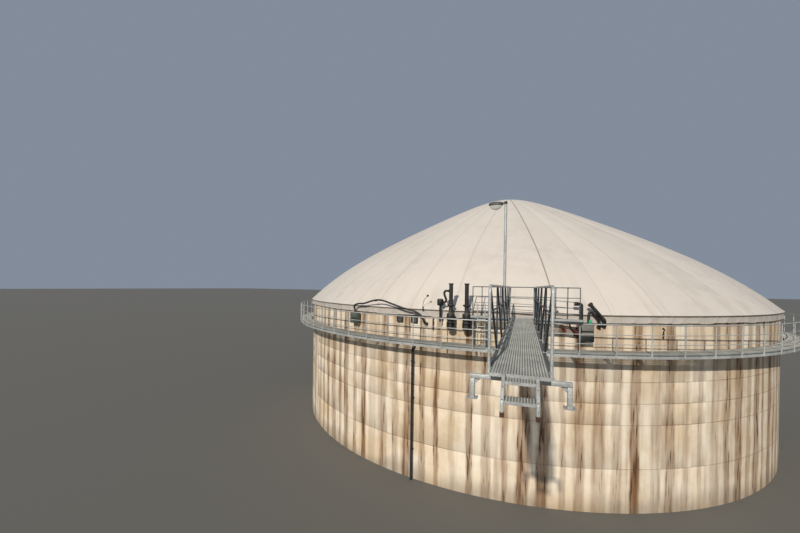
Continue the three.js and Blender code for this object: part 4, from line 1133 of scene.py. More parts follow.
# %% Consoles, edge channel and splice plates
GROOVE_FLOOR, GROOVE_LOW, GROOVE_HIGH, GROOVE_SLANT = 14.740, 5.694, 5.744, 0.004
CHANNEL_BACK, CHANNEL_LIP, CHANNEL_PLATE = 14.722, 14.732, 0.008
SPLICE_HALF, SPLICE_THICK, SPLICE_LOW, SPLICE_TOP = 0.12, 0.006, 5.625, 5.735
channel_profile = [
    (CHANNEL_BACK, CHANNEL_LOW), (CHANNEL_FACE, CHANNEL_LOW),
    (CHANNEL_FACE, GROOVE_LOW - GROOVE_SLANT), (GROOVE_FLOOR, GROOVE_LOW),
    (GROOVE_FLOOR, GROOVE_HIGH), (CHANNEL_FACE, GROOVE_HIGH + GROOVE_SLANT),
    (CHANNEL_FACE, WALK_TOP), (CHANNEL_LIP, WALK_TOP),
    (CHANNEL_LIP, CHANNEL_LOW + CHANNEL_PLATE), (CHANNEL_BACK, CHANNEL_LOW + CHANNEL_PLATE),
]
for index, start in enumerate(LENGTH_STARTS):
    consoles = moved(array_round(console(), BAYS, BAY), turn_to(start + BAY / 2))
    channel = turned(channel_profile, ARC_STEPS, start, 90.0)
    # A thin dark strip in the channel's groove: painted shade under the top lip.
    groove_shade_strip = ring_flat(GROOVE_FLOOR - 0.001, GROOVE_FLOOR + 0.001, GROOVE_LOW, GROOVE_HIGH, start)
    splice = [block(
        (-SPLICE_HALF, -CHANNEL_FACE - SPLICE_THICK, SPLICE_LOW),
        (SPLICE_HALF, -CHANNEL_FACE, SPLICE_TOP), 0.002
    )]
    for x in (-0.085, -0.035, 0.035, 0.085):
        splice += [bolt((x, -CHANNEL_FACE - SPLICE_THICK, z), (0, -1, 0)) for z in (5.65, 5.71)]
    splice = moved(joined(splice), turn_to(start))
    # The consoles and the groove strip take the darker steel, which is painted shade.
    consoles_and_groove_shade, pale_part = joined([consoles, groove_shade_strip]), joined([channel, splice])
    walk_frame = joined([painted(consoles_and_groove_shade, steel_in_painted_shade), painted(pale_part, steel)])
    dress(walk_frame, f"walkway_steel_{index + 1}", [f"walkway_frame_{index + 1}"])

# %% Open grating floor
ROD_RADII = [WALK_INNER + 0.045 + 0.095 * i for i in range(7)]
ROD_HALF, BAND = 0.003, 0.005
BINDER_HALF = 0.006
BAR_STEP = BAY / BARS_PER_BAY
bar_low = FLOOR_TOP - BAR_DEPTH
for index, start in enumerate(LENGTH_STARTS):
    bar = block((-BAR_THICK / 2, -WALK_EDGE, bar_low), (BAR_THICK / 2, -WALK_INNER, FLOOR_TOP))
    bars = moved(array_round(bar, BAYS * BARS_PER_BAY, BAR_STEP), turn_to(start + BAR_STEP / 2))
    binder = block((-BINDER_HALF, -WALK_EDGE, bar_low), (BINDER_HALF, -WALK_INNER, FLOOR_TOP + 0.001))
    binders = moved(array_round(binder, BAYS, BAY), turn_to(start + BAY / 2))
    rods = [
        ring_flat(radius - ROD_HALF, radius + ROD_HALF, FLOOR_TOP - 0.008, FLOOR_TOP - 0.001, start)
        for radius in ROD_RADII
    ]
    bands = [
        ring_flat(radius, radius + BAND, bar_low, FLOOR_TOP, start)
        for radius in (WALK_INNER, WALK_EDGE - BAND)
    ]
    floor_length = joined([bars, binders, *rods, *bands])
    dress(floor_length, f"walkway_grating_{index + 1}", [f"walkway_deck_{index + 1}"], grid_steel)

# %% [markdown]
# ## The walkway's railing
# Round posts stand outside the channel on flattened feet with two bolts each. They carry a handrail and two
# knee rails, bent to the curve. The tubes are spun round the tank, which keeps them round and continuous,
# and every post is a copy of one.

# %% Railing of the walkway
RAIL_LINE = 14.790
RAIL_TOP = 6.740
HANDRAIL = 0.021
KNEE = 0.013
KNEE_HEIGHTS = (6.0727, 6.3853)
POST_HALF, POST_LOW = 0.0195, 5.615
CLAMP_HALF, CLAMP_DEEP, CLAMP_LOW, CLAMP_TOP = 0.032, 0.014, 5.620, 5.745
COLLAR_HALF, COLLAR_LONG = 0.018, 0.034
SADDLE_HALF, SADDLE_LONG = 0.0235, 0.040
handrail_line = RAIL_TOP - HANDRAIL


def walkway_post():
    """A post with its foot plate, bolts, and a collar at each rail."""
    def sleeve_at(z, long, half, sides):
        return rod((-long, -RAIL_LINE, z), (long, -RAIL_LINE, z), half, sides=sides)

    post = rod((0, -RAIL_LINE, POST_LOW), (0, -RAIL_LINE, RAIL_TOP - 0.02), POST_HALF, sides=14)
    toe = rod((0, -RAIL_LINE, POST_LOW - 0.020), (0, -RAIL_LINE, POST_LOW + 0.003), 0.012, POST_HALF, 14)
    clamp = block(
        (-CLAMP_HALF, -CHANNEL_FACE - CLAMP_DEEP, CLAMP_LOW), (CLAMP_HALF, -CHANNEL_FACE, CLAMP_TOP), 0.003
    )
    heads = [bolt((0, -RAIL_LINE - 0.017, z), (0, -1, 0), 0.009, 0.006) for z in (5.645, 5.715)]
    collars = [sleeve_at(z, COLLAR_LONG, COLLAR_HALF, 10) for z in KNEE_HEIGHTS]
    saddle = sleeve_at(handrail_line, SADDLE_LONG, SADDLE_HALF, 14)
    return joined([post, toe, clamp, *heads, *collars, saddle])


for index, start in enumerate(LENGTH_STARTS):
    posts = moved(array_round(walkway_post(), BAYS, BAY), turn_to(start + BAY / 2))
    handrail = ring_tube(RAIL_LINE, handrail_line, HANDRAIL, start, sides=14)
    knees = [ring_tube(RAIL_LINE, height, KNEE, start) for height in KNEE_HEIGHTS]
    sleeve = ring_tube(RAIL_LINE, handrail_line, HANDRAIL + 0.003, start - 0.25, 0.5, 14, 2)
    railing = joined([posts, handrail, *knees, sleeve])
    dress(railing, f"walkway_rails_{index + 1}", [f"walkway_railing_{index + 1}"], steel)

# %% [markdown]
# ## The gangway
# Two hollow beams carry a grating whose bars run along the gangway, and on each beam stands a light truss
# railing: a bent handrail in one piece with its end posts, dark uprights and diagonals, and a knee rail. The
# beams, uprights, diagonals and knee rail are painted dark, as painted shade.
# The handrail is one route with rounded corners, because that is how a tube bender makes it. The bars are
# painted darker than the thin cross bars between them, as painted shade, so the floor shows the fine stripes
# of the real one.

# %% Routes with rounded corners
def rounded(points, radius, steps=5):
    """A route with every inner corner replaced by an arc."""
    points = [Vector(p) for p in points]
    route = [points[0]]
    for before, corner, after in zip(points, points[1:], points[2:]):
        inward = (before - corner).normalized()
        onward = (after - corner).normalized()
        half = inward.angle(onward) / 2
        reach = radius / math.tan(half)
        centre = corner + (inward + onward).normalized() * (radius / math.sin(half))
        first = corner + inward * reach - centre
        last = corner + onward * reach - centre
        for i in range(steps + 1):
            route.append(centre + first.slerp(last, i / steps).normalized() * radius)
    route.append(points[-1])
    return route


def bent_tube(points, size, radius, sides=12):
    return pipe(rounded(points, radius), size, sides, smooth=False)


# %% Gangway beams and floor
GANGWAY_MIDDLE = 1.200
GANGWAY_HALF = 0.350
GANGWAY_TOP = 6.840
GANGWAY_NEAR = -22.900
GANGWAY_FAR = -14.6403
BEAM_WIDTH = 0.070
BEAM_DEPTH = 0.080
TRUSS_NEAR = -22.600
TRUSS_BAY = 1.420
TRUSS_BAYS = 5
FOOT_LINE = -22.700
truss_posts = [TRUSS_NEAR + TRUSS_BAY * i for i in range(TRUSS_BAYS + 1)]
beam_low = GANGWAY_TOP - BEAM_DEPTH
floor_low = GANGWAY_TOP - BAR_DEPTH

# %% Beams, edge plates and the grating of the floor
BEAM_SEEN = 0.050
BEAM_START = TRUSS_NEAR + 0.025
EDGE_PLATE, EDGE_LOW = 0.008, 6.794
CROSS_WIDE = 0.040
HAIR = 0.0005
ROD_PITCH = 0.0333
STRIPE = 0.015
edge_top = GANGWAY_TOP - 0.001
beams = []
edges = [block(
    (GANGWAY_MIDDLE - GANGWAY_HALF - EDGE_PLATE, GANGWAY_NEAR, EDGE_LOW),
    (GANGWAY_MIDDLE + GANGWAY_HALF + EDGE_PLATE, GANGWAY_NEAR + EDGE_PLATE, edge_top), 0.002,
)]
for side in (-1, 1):
    inner = GANGWAY_MIDDLE + side * GANGWAY_HALF
    beams.append(block(
        (inner, BEAM_START, beam_low), (inner + side * BEAM_SEEN, GANGWAY_FAR, GANGWAY_TOP), 0.007, 2
    ))
    edges.append(block(
        (inner, GANGWAY_NEAR + EDGE_PLATE, EDGE_LOW), (inner + side * EDGE_PLATE, BEAM_START, edge_top), 0.002
    ))
for y in [FOOT_LINE - CROSS_WIDE / 2, *truss_posts[1:], GANGWAY_FAR - CROSS_WIDE - HAIR]:
    beams.append(block(
        (GANGWAY_MIDDLE - GANGWAY_HALF - 0.002, y, beam_low + HAIR),
        (GANGWAY_MIDDLE + GANGWAY_HALF + 0.002, y + CROSS_WIDE, floor_low - HAIR), 0.003,
    ))
# The beams take the darker steel, which is painted shade; the edge plates stay bright.
gangway_beams = joined([painted(joined(beams), steel_in_painted_shade), painted(joined(edges), steel)])
dress(gangway_beams, "gangway_beams", ["gangway_frame"])


def grating(low, high, along, pitch=0.0343, panel=None, bar=BAR_THICK):
    """An open grating between two corners. along is 0 or 1, the axis that its bars run along. The bars are
    painted darker than the rods, as painted shade between them.
    """
    low, high = Vector(low), Vector(high)
    across = 1 - along
    span = high[across] - low[across]
    count = round(span / pitch)
    start, end = low.copy(), high.copy()
    end[across] = start[across] + bar
    first = block(start, end)
    offset = [0.0, 0.0, 0.0]
    offset[across] = (span - bar) / count
    bars = array_along(first, count + 1, offset)
    rod_start, rod_end = low.copy(), high.copy()
    rod_start[2] = high[2] - 0.012
    rod_end[2] = high[2] - 0.001
    length = high[along] - low[along]
    rods = max(2, int(length / ROD_PITCH))
    rod_start[along] = low[along] + length / rods / 2
    rod_end[along] = rod_start[along] + 0.003
    offset = [0.0, 0.0, 0.0]
    offset[along] = length / rods
    cross = array_along(block(rod_start, rod_end), rods, offset)
    panels = max(1, round(length / panel)) if panel else 1
    band_end = high.copy()
    band_end[along] = low[along] + 0.006
    offset[along] = (length - 0.006) / panels
    bands = array_along(block(low, band_end), panels + 1, offset)
    print("grating of", count + 1, "bars,", rods, "rods and", panels, "panels")
    # The bars get the darker grating paint, which is painted shade.
    return joined([painted(bars, grating_bar_shade_paint), painted(joined([cross, bands]), grid_steel)])


gangway_floor = grating(
    (GANGWAY_MIDDLE - GANGWAY_HALF + 0.002, GANGWAY_NEAR + 0.009, floor_low),
    (GANGWAY_MIDDLE + GANGWAY_HALF - 0.002, GANGWAY_FAR, GANGWAY_TOP), 1, panel=1.377, bar=STRIPE,
)
dress(gangway_floor, "gangway_grating", ["gangway_deck"])

# %% Gangway railings
RAIL_RISE = 1.100
KNEE_RISE = 0.730
LOOP_BEND = 0.10
UPRIGHT, DIAGONAL = 0.015, 0.0165
rail_line = GANGWAY_TOP + RAIL_RISE - HANDRAIL
knee_line = GANGWAY_TOP + KNEE_RISE - UPRIGHT
far_post = GANGWAY_FAR - HANDRAIL


def upright(x, y, low, high, radius, end_radius=None, sides=12):
    """A round bar that stands up."""
    return rod((x, y, low), (x, y, high), radius, end_radius, sides)


def foot_plate(x, y, z, half=0.045, thick=0.008):
    """A base plate with four bolts."""
    base = block((x - half, y - half, z), (x + half, y + half, z + thick), 0.002)
    reach = half - 0.013
    corners = [(x + i * reach, y + j * reach, z + thick) for i in (-1, 1) for j in (-1, 1)]
    return [base, *[bolt(corner, (0, 0, 1), 0.009, 0.008) for corner in corners]]


for side, label in ((-1, "left"), (1, "right")):
    x = GANGWAY_MIDDLE + side * (GANGWAY_HALF + BEAM_WIDTH / 2)
    corners = (
        (TRUSS_NEAR, beam_low + 0.008), (TRUSS_NEAR, rail_line),
        (far_post, rail_line), (far_post, GANGWAY_TOP)
    )
    loop = bent_tube([(x, y, z) for y, z in corners], HANDRAIL, LOOP_BEND, 16)
    plates = [block(
        (x - 0.030, FOOT_LINE - 0.025, beam_low + HAIR),
        (x + 0.030, TRUSS_NEAR + 0.024, beam_low + 0.009), 0.002
    )]
    for y in [*truss_posts[1:], far_post]:
        plates += foot_plate(x, y, GANGWAY_TOP, 0.034)
    inside = [rod((x, TRUSS_NEAR, knee_line), (x, far_post, knee_line), UPRIGHT)]
    for near, y in zip(truss_posts, truss_posts[1:]):
        inside.append(upright(x, y, GANGWAY_TOP, rail_line, UPRIGHT))
        inside.append(rod((x, near + 0.05, rail_line - 0.01), (x, y - 0.03, GANGWAY_TOP + 0.03), DIAGONAL))
    # The knee rail, uprights and diagonals take the darker steel, which is painted shade.
    rails = joined([painted(joined([loop, *plates]), steel), painted(joined(inside), steel_in_painted_shade)])
    dress(rails, f"gangway_rails_{label}", [f"gangway_railing_{label}"])

# %% Foot frame
FOOT_REACH = 0.615
FOOT_HALF = 0.030
FOOT_LEVEL = 6.440
GUSSET_TOP, GUSSET_LOW, GUSSET_REACH, GUSSET_THICK = 6.700, 6.620, 0.080, 0.006
foot_top = beam_low - 2 * FOOT_HALF
frame_pieces = [block(
    (GANGWAY_MIDDLE - FOOT_REACH, FOOT_LINE - FOOT_HALF, foot_top),
    (GANGWAY_MIDDLE + FOOT_REACH, FOOT_LINE + FOOT_HALF, beam_low), 0.006, 2,
)]
for side in (-1, 1):
    x = GANGWAY_MIDDLE + side * (FOOT_REACH - FOOT_HALF)
    frame_pieces.append(block(
        (x - FOOT_HALF, FOOT_LINE - FOOT_HALF, FOOT_LEVEL),
        (x + FOOT_HALF, FOOT_LINE + FOOT_HALF, foot_top - HAIR), 0.006, 2,
    ))
    frame_pieces += foot_plate(x, FOOT_LINE, FOOT_LEVEL, 0.070, 0.010)
    inner = x - side * FOOT_HALF
    corners = ((inner, GUSSET_TOP), (inner, GUSSET_LOW), (inner - side * GUSSET_REACH, GUSSET_TOP))
    frame_pieces.append(plate([(across, FOOT_LINE, z) for across, z in corners], (0, GUSSET_THICK, 0)))
dress(joined(frame_pieces), "foot_frame", ["gangway_foot_frame"], steel)

# %% Sizes of the steps
STEP_MIDDLE = GANGWAY_MIDDLE + 0.015
STEP_HALF = 0.2125
STEP_RUN = 0.200
STEP_SIDE = 0.042
STEP_NOSE, STEP_FOOT = 0.010, 0.050
TREAD_TOPS = (6.800, 6.630)
TREAD_DEPTH, NOSE_THICK = 0.040, 0.006
SIDE_TOP, SIDE_LEVEL, SIDE_DEPTH, SIDE_EASE = 6.860, 0.130, 0.070, 0.008
SHOE_HIGH = 0.060
HOLE_SHARES = (0.45, 0.92)
HOLE_WAY = Vector((0, -0.65, 0.76)) * 0.0015
step_back = GANGWAY_NEAR - 0.0003
step_front = step_back - 2 * STEP_RUN
tread_left, tread_right = STEP_MIDDLE - STEP_HALF + STEP_SIDE, STEP_MIDDLE + STEP_HALF - STEP_SIDE
step_corner = (step_back - SIDE_LEVEL, SIDE_TOP - SIDE_EASE)
step_nose = (step_front - STEP_NOSE, TREAD_TOPS[1] - STEP_NOSE)
step_outline = [
    (step_back, SIDE_TOP), (step_corner[0] + 0.015, SIDE_TOP), step_corner, step_nose,
    (step_nose[0], FOOT_LEVEL), (step_front + STEP_FOOT, FOOT_LEVEL),
    (step_front + STEP_FOOT, TREAD_TOPS[1] - SIDE_DEPTH), (step_back, TREAD_TOPS[0] - SIDE_DEPTH),
]

# %% Steps
treads, noses, sides, shoes, hole_shade_plugs = [], [], [], [], []
for i, top in enumerate(TREAD_TOPS):
    back = step_back - i * STEP_RUN
    nose = back - STEP_RUN + NOSE_THICK
    treads.append(grating((tread_left, nose, top - BAR_DEPTH), (tread_right, back, top), 1, bar=STRIPE))
    noses.append(block((tread_left, back - STEP_RUN, top - TREAD_DEPTH), (tread_right, nose, top), 0.002))
for x in (tread_left - STEP_SIDE, tread_right):
    sides.append(plate([(x, y, z) for y, z in step_outline], (STEP_SIDE, 0, 0), 0.006))
    shoes.append(block(
        (x - 0.003, step_nose[0] - 0.002, FOOT_LEVEL),
        (x + STEP_SIDE + 0.003, step_front + STEP_FOOT + 0.002, FOOT_LEVEL + SHOE_HIGH), 0.004,
    ))
    # Each hole is a short dark rod, painted shade in the hole.
    for share in HOLE_SHARES:
        y, z = (start + share * (end - start) for start, end in zip(step_corner, step_nose))
        middle = Vector((x + STEP_SIDE / 2, y, z))
        hole_shade_plugs.append(rod(middle - HOLE_WAY * 4, middle + HOLE_WAY, 0.008, sides=14))
steps = joined([
    *treads, painted(joined([*sides, *noses]), steel),
    painted(joined(shoes), rust), painted(joined(hole_shade_plugs), dark_housing),
])
dress(steps, "steps", ["access_steps"])

# %% [markdown]
# ## The platform at the eaves
# Across the gangway's end lies a platform of hollow sections on four legs that stand on the walkway. It has
# the same grating, a railing of four round rails along the roof side, and a short ladder down to the
# walkway. The mast for the light stands on it.

# %% Platform frame and floor
PLATFORM_LEFT, PLATFORM_RIGHT = -0.565, 3.110
PLATFORM_FRONT, PLATFORM_BACK = -14.640, -14.140
SECTION, LEG = 0.060, 0.050
CROSS_PLACES = (PLATFORM_LEFT, 0.0, 2.0, PLATFORM_RIGHT - SECTION)
LEG_PLACES = ((-0.500, -14.180), (2.000, -14.180), (0.000, -14.560), (2.000, -14.560))
platform_low = floor_low - SECTION
sections = []
for y in (PLATFORM_FRONT, PLATFORM_BACK - SECTION):
    sections.append(block(
        (PLATFORM_LEFT, y, platform_low), (PLATFORM_RIGHT, y + SECTION, floor_low), 0.006, 2
    ))
for x in CROSS_PLACES:
    sections.append(block(
        (x, PLATFORM_FRONT + SECTION / 2, platform_low),
        (x + SECTION, PLATFORM_BACK - SECTION / 2, floor_low), 0.006, 2,
    ))
for x, y in LEG_PLACES:
    sections.append(block((x, y, WALK_TOP), (x + LEG, y + LEG, platform_low + 0.001), 0.005, 2))
    sections += foot_plate(x + LEG / 2, y + LEG / 2, WALK_TOP, 0.048)
# The sections take the darker steel, which is painted shade.
dress(joined(sections), "platform_sections", ["platform_frame"], steel_in_painted_shade)

platform_floor = grating(
    (PLATFORM_LEFT, PLATFORM_FRONT, floor_low), (PLATFORM_RIGHT, PLATFORM_BACK, GANGWAY_TOP), 1,
)
dress(platform_floor, "platform_grating", ["platform_deck"])

# %% Platform railing
POST_LINE = PLATFORM_BACK - 0.015
POST_PLACES = (-0.540, -0.205, 0.450, 1.650, 2.300, 2.680, 3.067)
POST_RISE = 1.080
RAIL_RISES = (0.200, 0.400, 0.740, 1.090)
TOP_RAIL, LOWER_RAIL, RAIL_SLEEVE = 0.0165, 0.012, 0.005
tubes = []
for x in POST_PLACES:
    tubes.append(upright(x, POST_LINE, GANGWAY_TOP, GANGWAY_TOP + POST_RISE, UPRIGHT))
    tubes.append(block(
        (x - 0.03, POST_LINE - 0.03, GANGWAY_TOP), (x + 0.03, POST_LINE + 0.013, GANGWAY_TOP + 0.008), 0.002
    ))
for rise in RAIL_RISES:
    size = TOP_RAIL if rise == RAIL_RISES[-1] else LOWER_RAIL
    z = GANGWAY_TOP + rise - UPRIGHT
    tubes.append(rod((POST_PLACES[0], POST_LINE, z), (POST_PLACES[-1], POST_LINE, z), size))
    for x in POST_PLACES[1:-1]:
        tubes.append(rod((x - 0.03, POST_LINE, z), (x + 0.03, POST_LINE, z), size + RAIL_SLEEVE))
# The rails take the darker steel, which is painted shade.
dress(joined(tubes), "platform_rails", ["platform_railing"], steel_in_painted_shade)

# %% Ladder
LADDER_LEFT, LADDER_WIDTH, LADDER_TOP = -0.316, 0.300, 7.320
RUNG_HEIGHTS = (5.990, 6.240, 6.490, 6.740)
STILE, RUNG = 0.0175, 0.013
ladder_line = PLATFORM_FRONT - 0.0183
ladder = []
for x in (LADDER_LEFT + 0.018, LADDER_LEFT + LADDER_WIDTH - 0.018):
    ladder.append(upright(x, ladder_line, WALK_TOP, LADDER_TOP - 0.012, STILE))
    ladder.append(upright(x, ladder_line, LADDER_TOP - 0.013, LADDER_TOP, STILE, 0.010))
    ladder.append(block((x - 0.017, ladder_line, 6.765), (x + 0.017, PLATFORM_FRONT + 0.001, 6.795), 0.002))
for z in RUNG_HEIGHTS:
    ends = [(x, ladder_line, z) for x in (LADDER_LEFT + 0.01, LADDER_LEFT + LADDER_WIDTH - 0.01)]
    ladder.append(rod(*ends, RUNG))
dress(joined(ladder), "ladder", ["platform_ladder"], steel)

# %% [markdown]
# ## Mast and floodlight
# The mast is a plain galvanised tube on a base plate. A short arm holds the light to one side of its head:
# a dark hood over a clear bowl. Both are half an egg, so each is a sphere cut at its middle and stretched.
# The photograph shows no shadow of the mast on the roof, so neither piece casts one.

# %% Mast
MAST_X, MAST_Y = 0.596, -14.300
MAST_RADIUS = 0.050
MAST_TOP = 11.000
MAST_RINGS = (7.6, 8.6, 9.6)
WING = ((0.045, 0.012), (0.090, 0.012), (0.045, 0.130))
mast = [
    upright(MAST_X, MAST_Y, GANGWAY_TOP, MAST_TOP - 0.01, MAST_RADIUS, 0.046, 24),
    upright(MAST_X, MAST_Y, MAST_TOP - 0.012, MAST_TOP, 0.049, 0.034, 24),
    *foot_plate(MAST_X, MAST_Y, GANGWAY_TOP, 0.100, 0.012),
    *[upright(MAST_X, MAST_Y, z, z + 0.018, 0.0525, sides=24) for z in MAST_RINGS],
]
for azimuth in (45, 135, 225, 315):
    wing = plate([(x, -0.003, z) for x, z in WING], (0, 0.006, 0))
    mast.append(moved(wing, Matrix.Translation((MAST_X, MAST_Y, GANGWAY_TOP)) @ turn_to(azimuth)))
dress(joined(mast), "mast_tube", ["light_mast"], steel)

# %% The lamp's shell
LAMP_REACH, LAMP_RISE, LAMP_DEPTH = 0.520, 0.300, 0.170
LAMP_SPREAD = 0.10
HOOD_DEEP = 0.120
lamp_right = MAST_X - MAST_RADIUS - 0.030
lamp_left = lamp_right - LAMP_REACH
lamp_top = MAST_TOP - 0.005
lamp_low = lamp_top - LAMP_RISE
hood_low = lamp_top - HOOD_DEEP


def lamp_shell(low, top, left, right, half, power):
    """Half of an egg between two heights, wide at its level rim. A small power flattens it."""
    deselect()
    bpy.ops.mesh.primitive_uv_sphere_add(segments=28, ring_count=18, radius=1.0)
    shell = bpy.context.object
    bpy.ops.object.mode_set(mode="EDIT")
    select_all()
    bpy.ops.mesh.bisect(
        plane_co=(0, 0, 0), plane_no=(0, 0, 1), use_fill=True, clear_outer=top < low, clear_inner=top > low
    )
    bpy.ops.object.mode_set(mode="OBJECT")
    for vertex in shell.data.vertices:
        x, y, z = vertex.co
        across = (left + right + x * (right - left)) / 2
        along = MAST_Y + y * half * (1 + LAMP_SPREAD * x)
        vertex.co = (across, along, low + abs(z) ** power * (top - low))
    return shell


# %% Floodlight
arm_z = lamp_top - HOOD_DEEP / 2
hood = lamp_shell(hood_low, lamp_top, lamp_left, lamp_right, LAMP_DEPTH / 2 / (1 + LAMP_SPREAD), 0.5)
brim = block(
    (lamp_left + 0.03, MAST_Y - 0.070, hood_low - 0.012),
    (lamp_right - 0.02, MAST_Y + 0.070, hood_low + 0.02),
    0.010, 3,
)
arm = rod((lamp_right - 0.080, MAST_Y, arm_z), (MAST_X - 0.030, MAST_Y, arm_z), 0.024, sides=16)
band = upright(MAST_X, MAST_Y, arm_z - 0.045, arm_z + 0.045, 0.055, sides=24)
dark_parts = painted(joined([hood, brim, arm, band]), dark_housing)
bowl = lamp_shell(hood_low - 0.010, lamp_low, lamp_left + 0.045, lamp_right - 0.055, 0.066, 1.05)
dress(
    joined([dark_parts, painted(bowl, lamp_glass)]),
    "floodlight_head", ["floodlight"], None, 50
)
for name in ("mast_tube", "floodlight_head"):
    bpy.data.objects[name].visible_shadow = False

# %% [markdown]
# ## Fittings on the wall
# Each fitting is made upright at the axis, in the wall's own measure: along the wall, out from it, and up.
# One turn and one shift then put it in its place. Round bodies are a profile spun about the upright axis,
# which is how a lathe or a rotational mould makes them. Bolts, weld beads and sockets are what the eye
# looks for on such parts, so they are all there.

# %% Places on the wall
WALL_FLAT = 13.98697
GUARD_1 = (-7.8, 0.599, 0.313)
GUARD_2 = (-2.8, -0.050, 0.313)
VENT_POT = (-7.8, 0.150, 0.250)
DOWN_PIPE = (-12.8, 0.150, 0.130)
AIR_BLOWER = (-27.8, 0.560, 0.060)
AIR_PIPE_END = (-7.8, -0.500, 0.0)
WINDOWS = ((-12.8, -0.530, 0.0), (-12.8, 0.170, 0.0))
CABINET = (12.2, 0.306, 0.100)
BEND_END = (17.2, -0.405, 0.0)
SLANTING_PIPE = (17.2, -0.429, 0.190)
SLANTING_END = (17.2, -0.240, 0.0)
VALVES = ((12.2, -0.381, 0.0), (12.2, -0.020, 0.0))
FITTING = (27.2, -0.560, 0.0)
SMALL_TAP = (47.2, -0.100, 0.0)
DRAIN = (-7.8, -0.210, 0.0)
BRANCH = (17.2, -0.700, 0.0)


def by_wall(place):
    """From the wall's measure to the tank's frame."""
    azimuth, along, out = place
    return turn_to(azimuth) @ Matrix.Translation((along, -(WALL_FLAT + out), 0))


def spot(x, out, z):
    return Vector((x, -out, z))


def on_wall(piece, place):
    return moved(piece, by_wall(place))


# %% Shapes in the wall's measure
def wall_block(xs, outs, zs, bevel=0.0, segments=1):
    """A box from its two ends along the wall, out from it, and up."""
    return block(spot(xs[0], outs[0], zs[0]), spot(xs[1], outs[1], zs[1]), bevel, segments)


def stub(x, z, start, end, radius, end_radius=None, sides=18):
    """A round bar that stands out from the wall."""
    return rod(spot(x, start, z), spot(x, end, z), radius, end_radius, sides)


def wall_bolt(x, out, z, radius, height):
    return bolt(spot(x, out, z), (0, -1, 0), radius, height)


def lathe(profile, x=0.0, out=0.0, steps=32, lift=0.0):
    """A closed round body: a profile from the axis out and back to it, or a ring clear of the axis."""
    piece = turned([(radius, height + lift) for radius, height in profile], steps, closed=profile[0][0] > 0)
    return moved(piece, Matrix.Translation(spot(x, out, 0)))


def bolt_ring(z, ring, count, size=0.010, high=0.009):
    """Bolt heads that stand on a level flange."""
    turns = [math.radians(22.5 + 360 * i / count) for i in range(count)]
    places = [spot(ring * math.cos(turn), ring * math.sin(turn), z) for turn in turns]
    return [bolt(place, (0, 0, 1), size, high) for place in places]


# %% Flanges on the wall
WALL_FLANGE = 0.016
FLANGE_RATIO = 1.6
WELD_RATIO, WELD_LONG = 1.15, 0.010
FLANGE_BOLT_RATIO, FLANGE_BOLTS = 0.16, 6


def wall_flange(x, out, z, radius):
    """A flange on the wall, with a weld bead and six bolts. out is how far the fitting stands off."""
    wide = radius * FLANGE_RATIO
    face = WALL_FLANGE - out
    pieces = [
        stub(x, z, -out, face, wide, sides=24),
        stub(x, z, face, face + WELD_LONG, radius * WELD_RATIO, radius, 20),
    ]
    ring = (radius + wide) / 2
    for i in range(FLANGE_BOLTS):
        turn = math.radians(30 + 360 * i / FLANGE_BOLTS)
        x_bolt, z_bolt = x + ring * math.cos(turn), z + ring * math.sin(turn)
        pieces.append(wall_bolt(x_bolt, face, z_bolt, radius * FLANGE_BOLT_RATIO, 0.008))
    return pieces


def wall_pipe(x, out, z, radius):
    """A straight pipe from a fitting into the wall."""
    return [stub(x, z, 0, -out, radius, sides=20), *wall_flange(x, out, z, radius)]


# %% Pressure guards
GUARD_PROFILE = [
    (0, 6.270), (0.100, 6.270), (0.110, 6.276), (0.155, 6.308), (0.155, 6.548), (0.151, 6.558),
    (0.132, 6.566), (0.130, 6.574), (0.130, 6.626), (0.132, 6.634), (0.151, 6.642), (0.155, 6.652),
    (0.155, 6.862), (0.150, 6.873), (0.082, 6.934), (0.075, 6.946), (0.075, 7.148), (0.080, 7.152),
    (0.136, 7.180), (0.140, 7.184), (0.140, 7.203), (0.133, 7.205), (0.133, 7.208), (0.140, 7.210),
    (0.140, 7.227), (0.136, 7.230), (0.084, 7.230), (0.076, 7.238), (0.075, 7.250), (0.075, 7.982),
    (0.090, 7.990), (0.097, 7.996), (0.097, 8.020), (0.092, 8.028),
    (0.064, 8.030), (0.058, 8.016), (0, 8.012),
]
GUARD_PIPE_HEIGHT = 6.400
GUARD_PIPE_RADIUS = 0.055
GUARD_PIPE_SHIFT = 0.090
GUARD_FLANGE_TOP, GUARD_WAIST = 7.230, 6.574
RIB_HEIGHTS = (6.38, 6.46, 6.71, 6.79)
RIB_ROOT, RIB_EDGE = 0.150, 0.1549
LEVEL_X, LEVEL_OUT, LEVEL_LOW, LEVEL_TOP = -0.060, 0.1395, 6.33, 6.53


def pressure_guard(place, shift):
    """Two barrels on top of each other, a flange, and the standpipe with its cap."""
    body = lathe(GUARD_PROFILE, steps=36)
    ribs = [
        lathe([(RIB_ROOT, z), (RIB_EDGE, z + 0.004), (RIB_EDGE, z + 0.012), (RIB_ROOT, z + 0.016)])
        for z in RIB_HEIGHTS
    ]
    clamps = bolt_ring(GUARD_FLANGE_TOP, 0.112, 8) + bolt_ring(GUARD_WAIST, 0.141, 10, 0.008, 0.052)
    level = rod(spot(LEVEL_X, LEVEL_OUT, LEVEL_LOW), spot(LEVEL_X, LEVEL_OUT, LEVEL_TOP), 0.006, sides=8)
    ends = [stub(LEVEL_X, z, 0.10, 0.1455, 0.009, sides=8) for z in (LEVEL_LOW + 0.01, LEVEL_TOP - 0.01)]
    pipes = wall_pipe(shift, place[2], GUARD_PIPE_HEIGHT, GUARD_PIPE_RADIUS)
    return on_wall(joined([body, *ribs, *clamps, level, *ends, *pipes]), place)


for index, (place, shift) in enumerate(((GUARD_1, -GUARD_PIPE_SHIFT), (GUARD_2, 0.0))):
    guard = pressure_guard(place, shift)
    dress(guard, f"guard_{index + 1}", [f"pressure_guard_{index + 1}"], black_plastic)

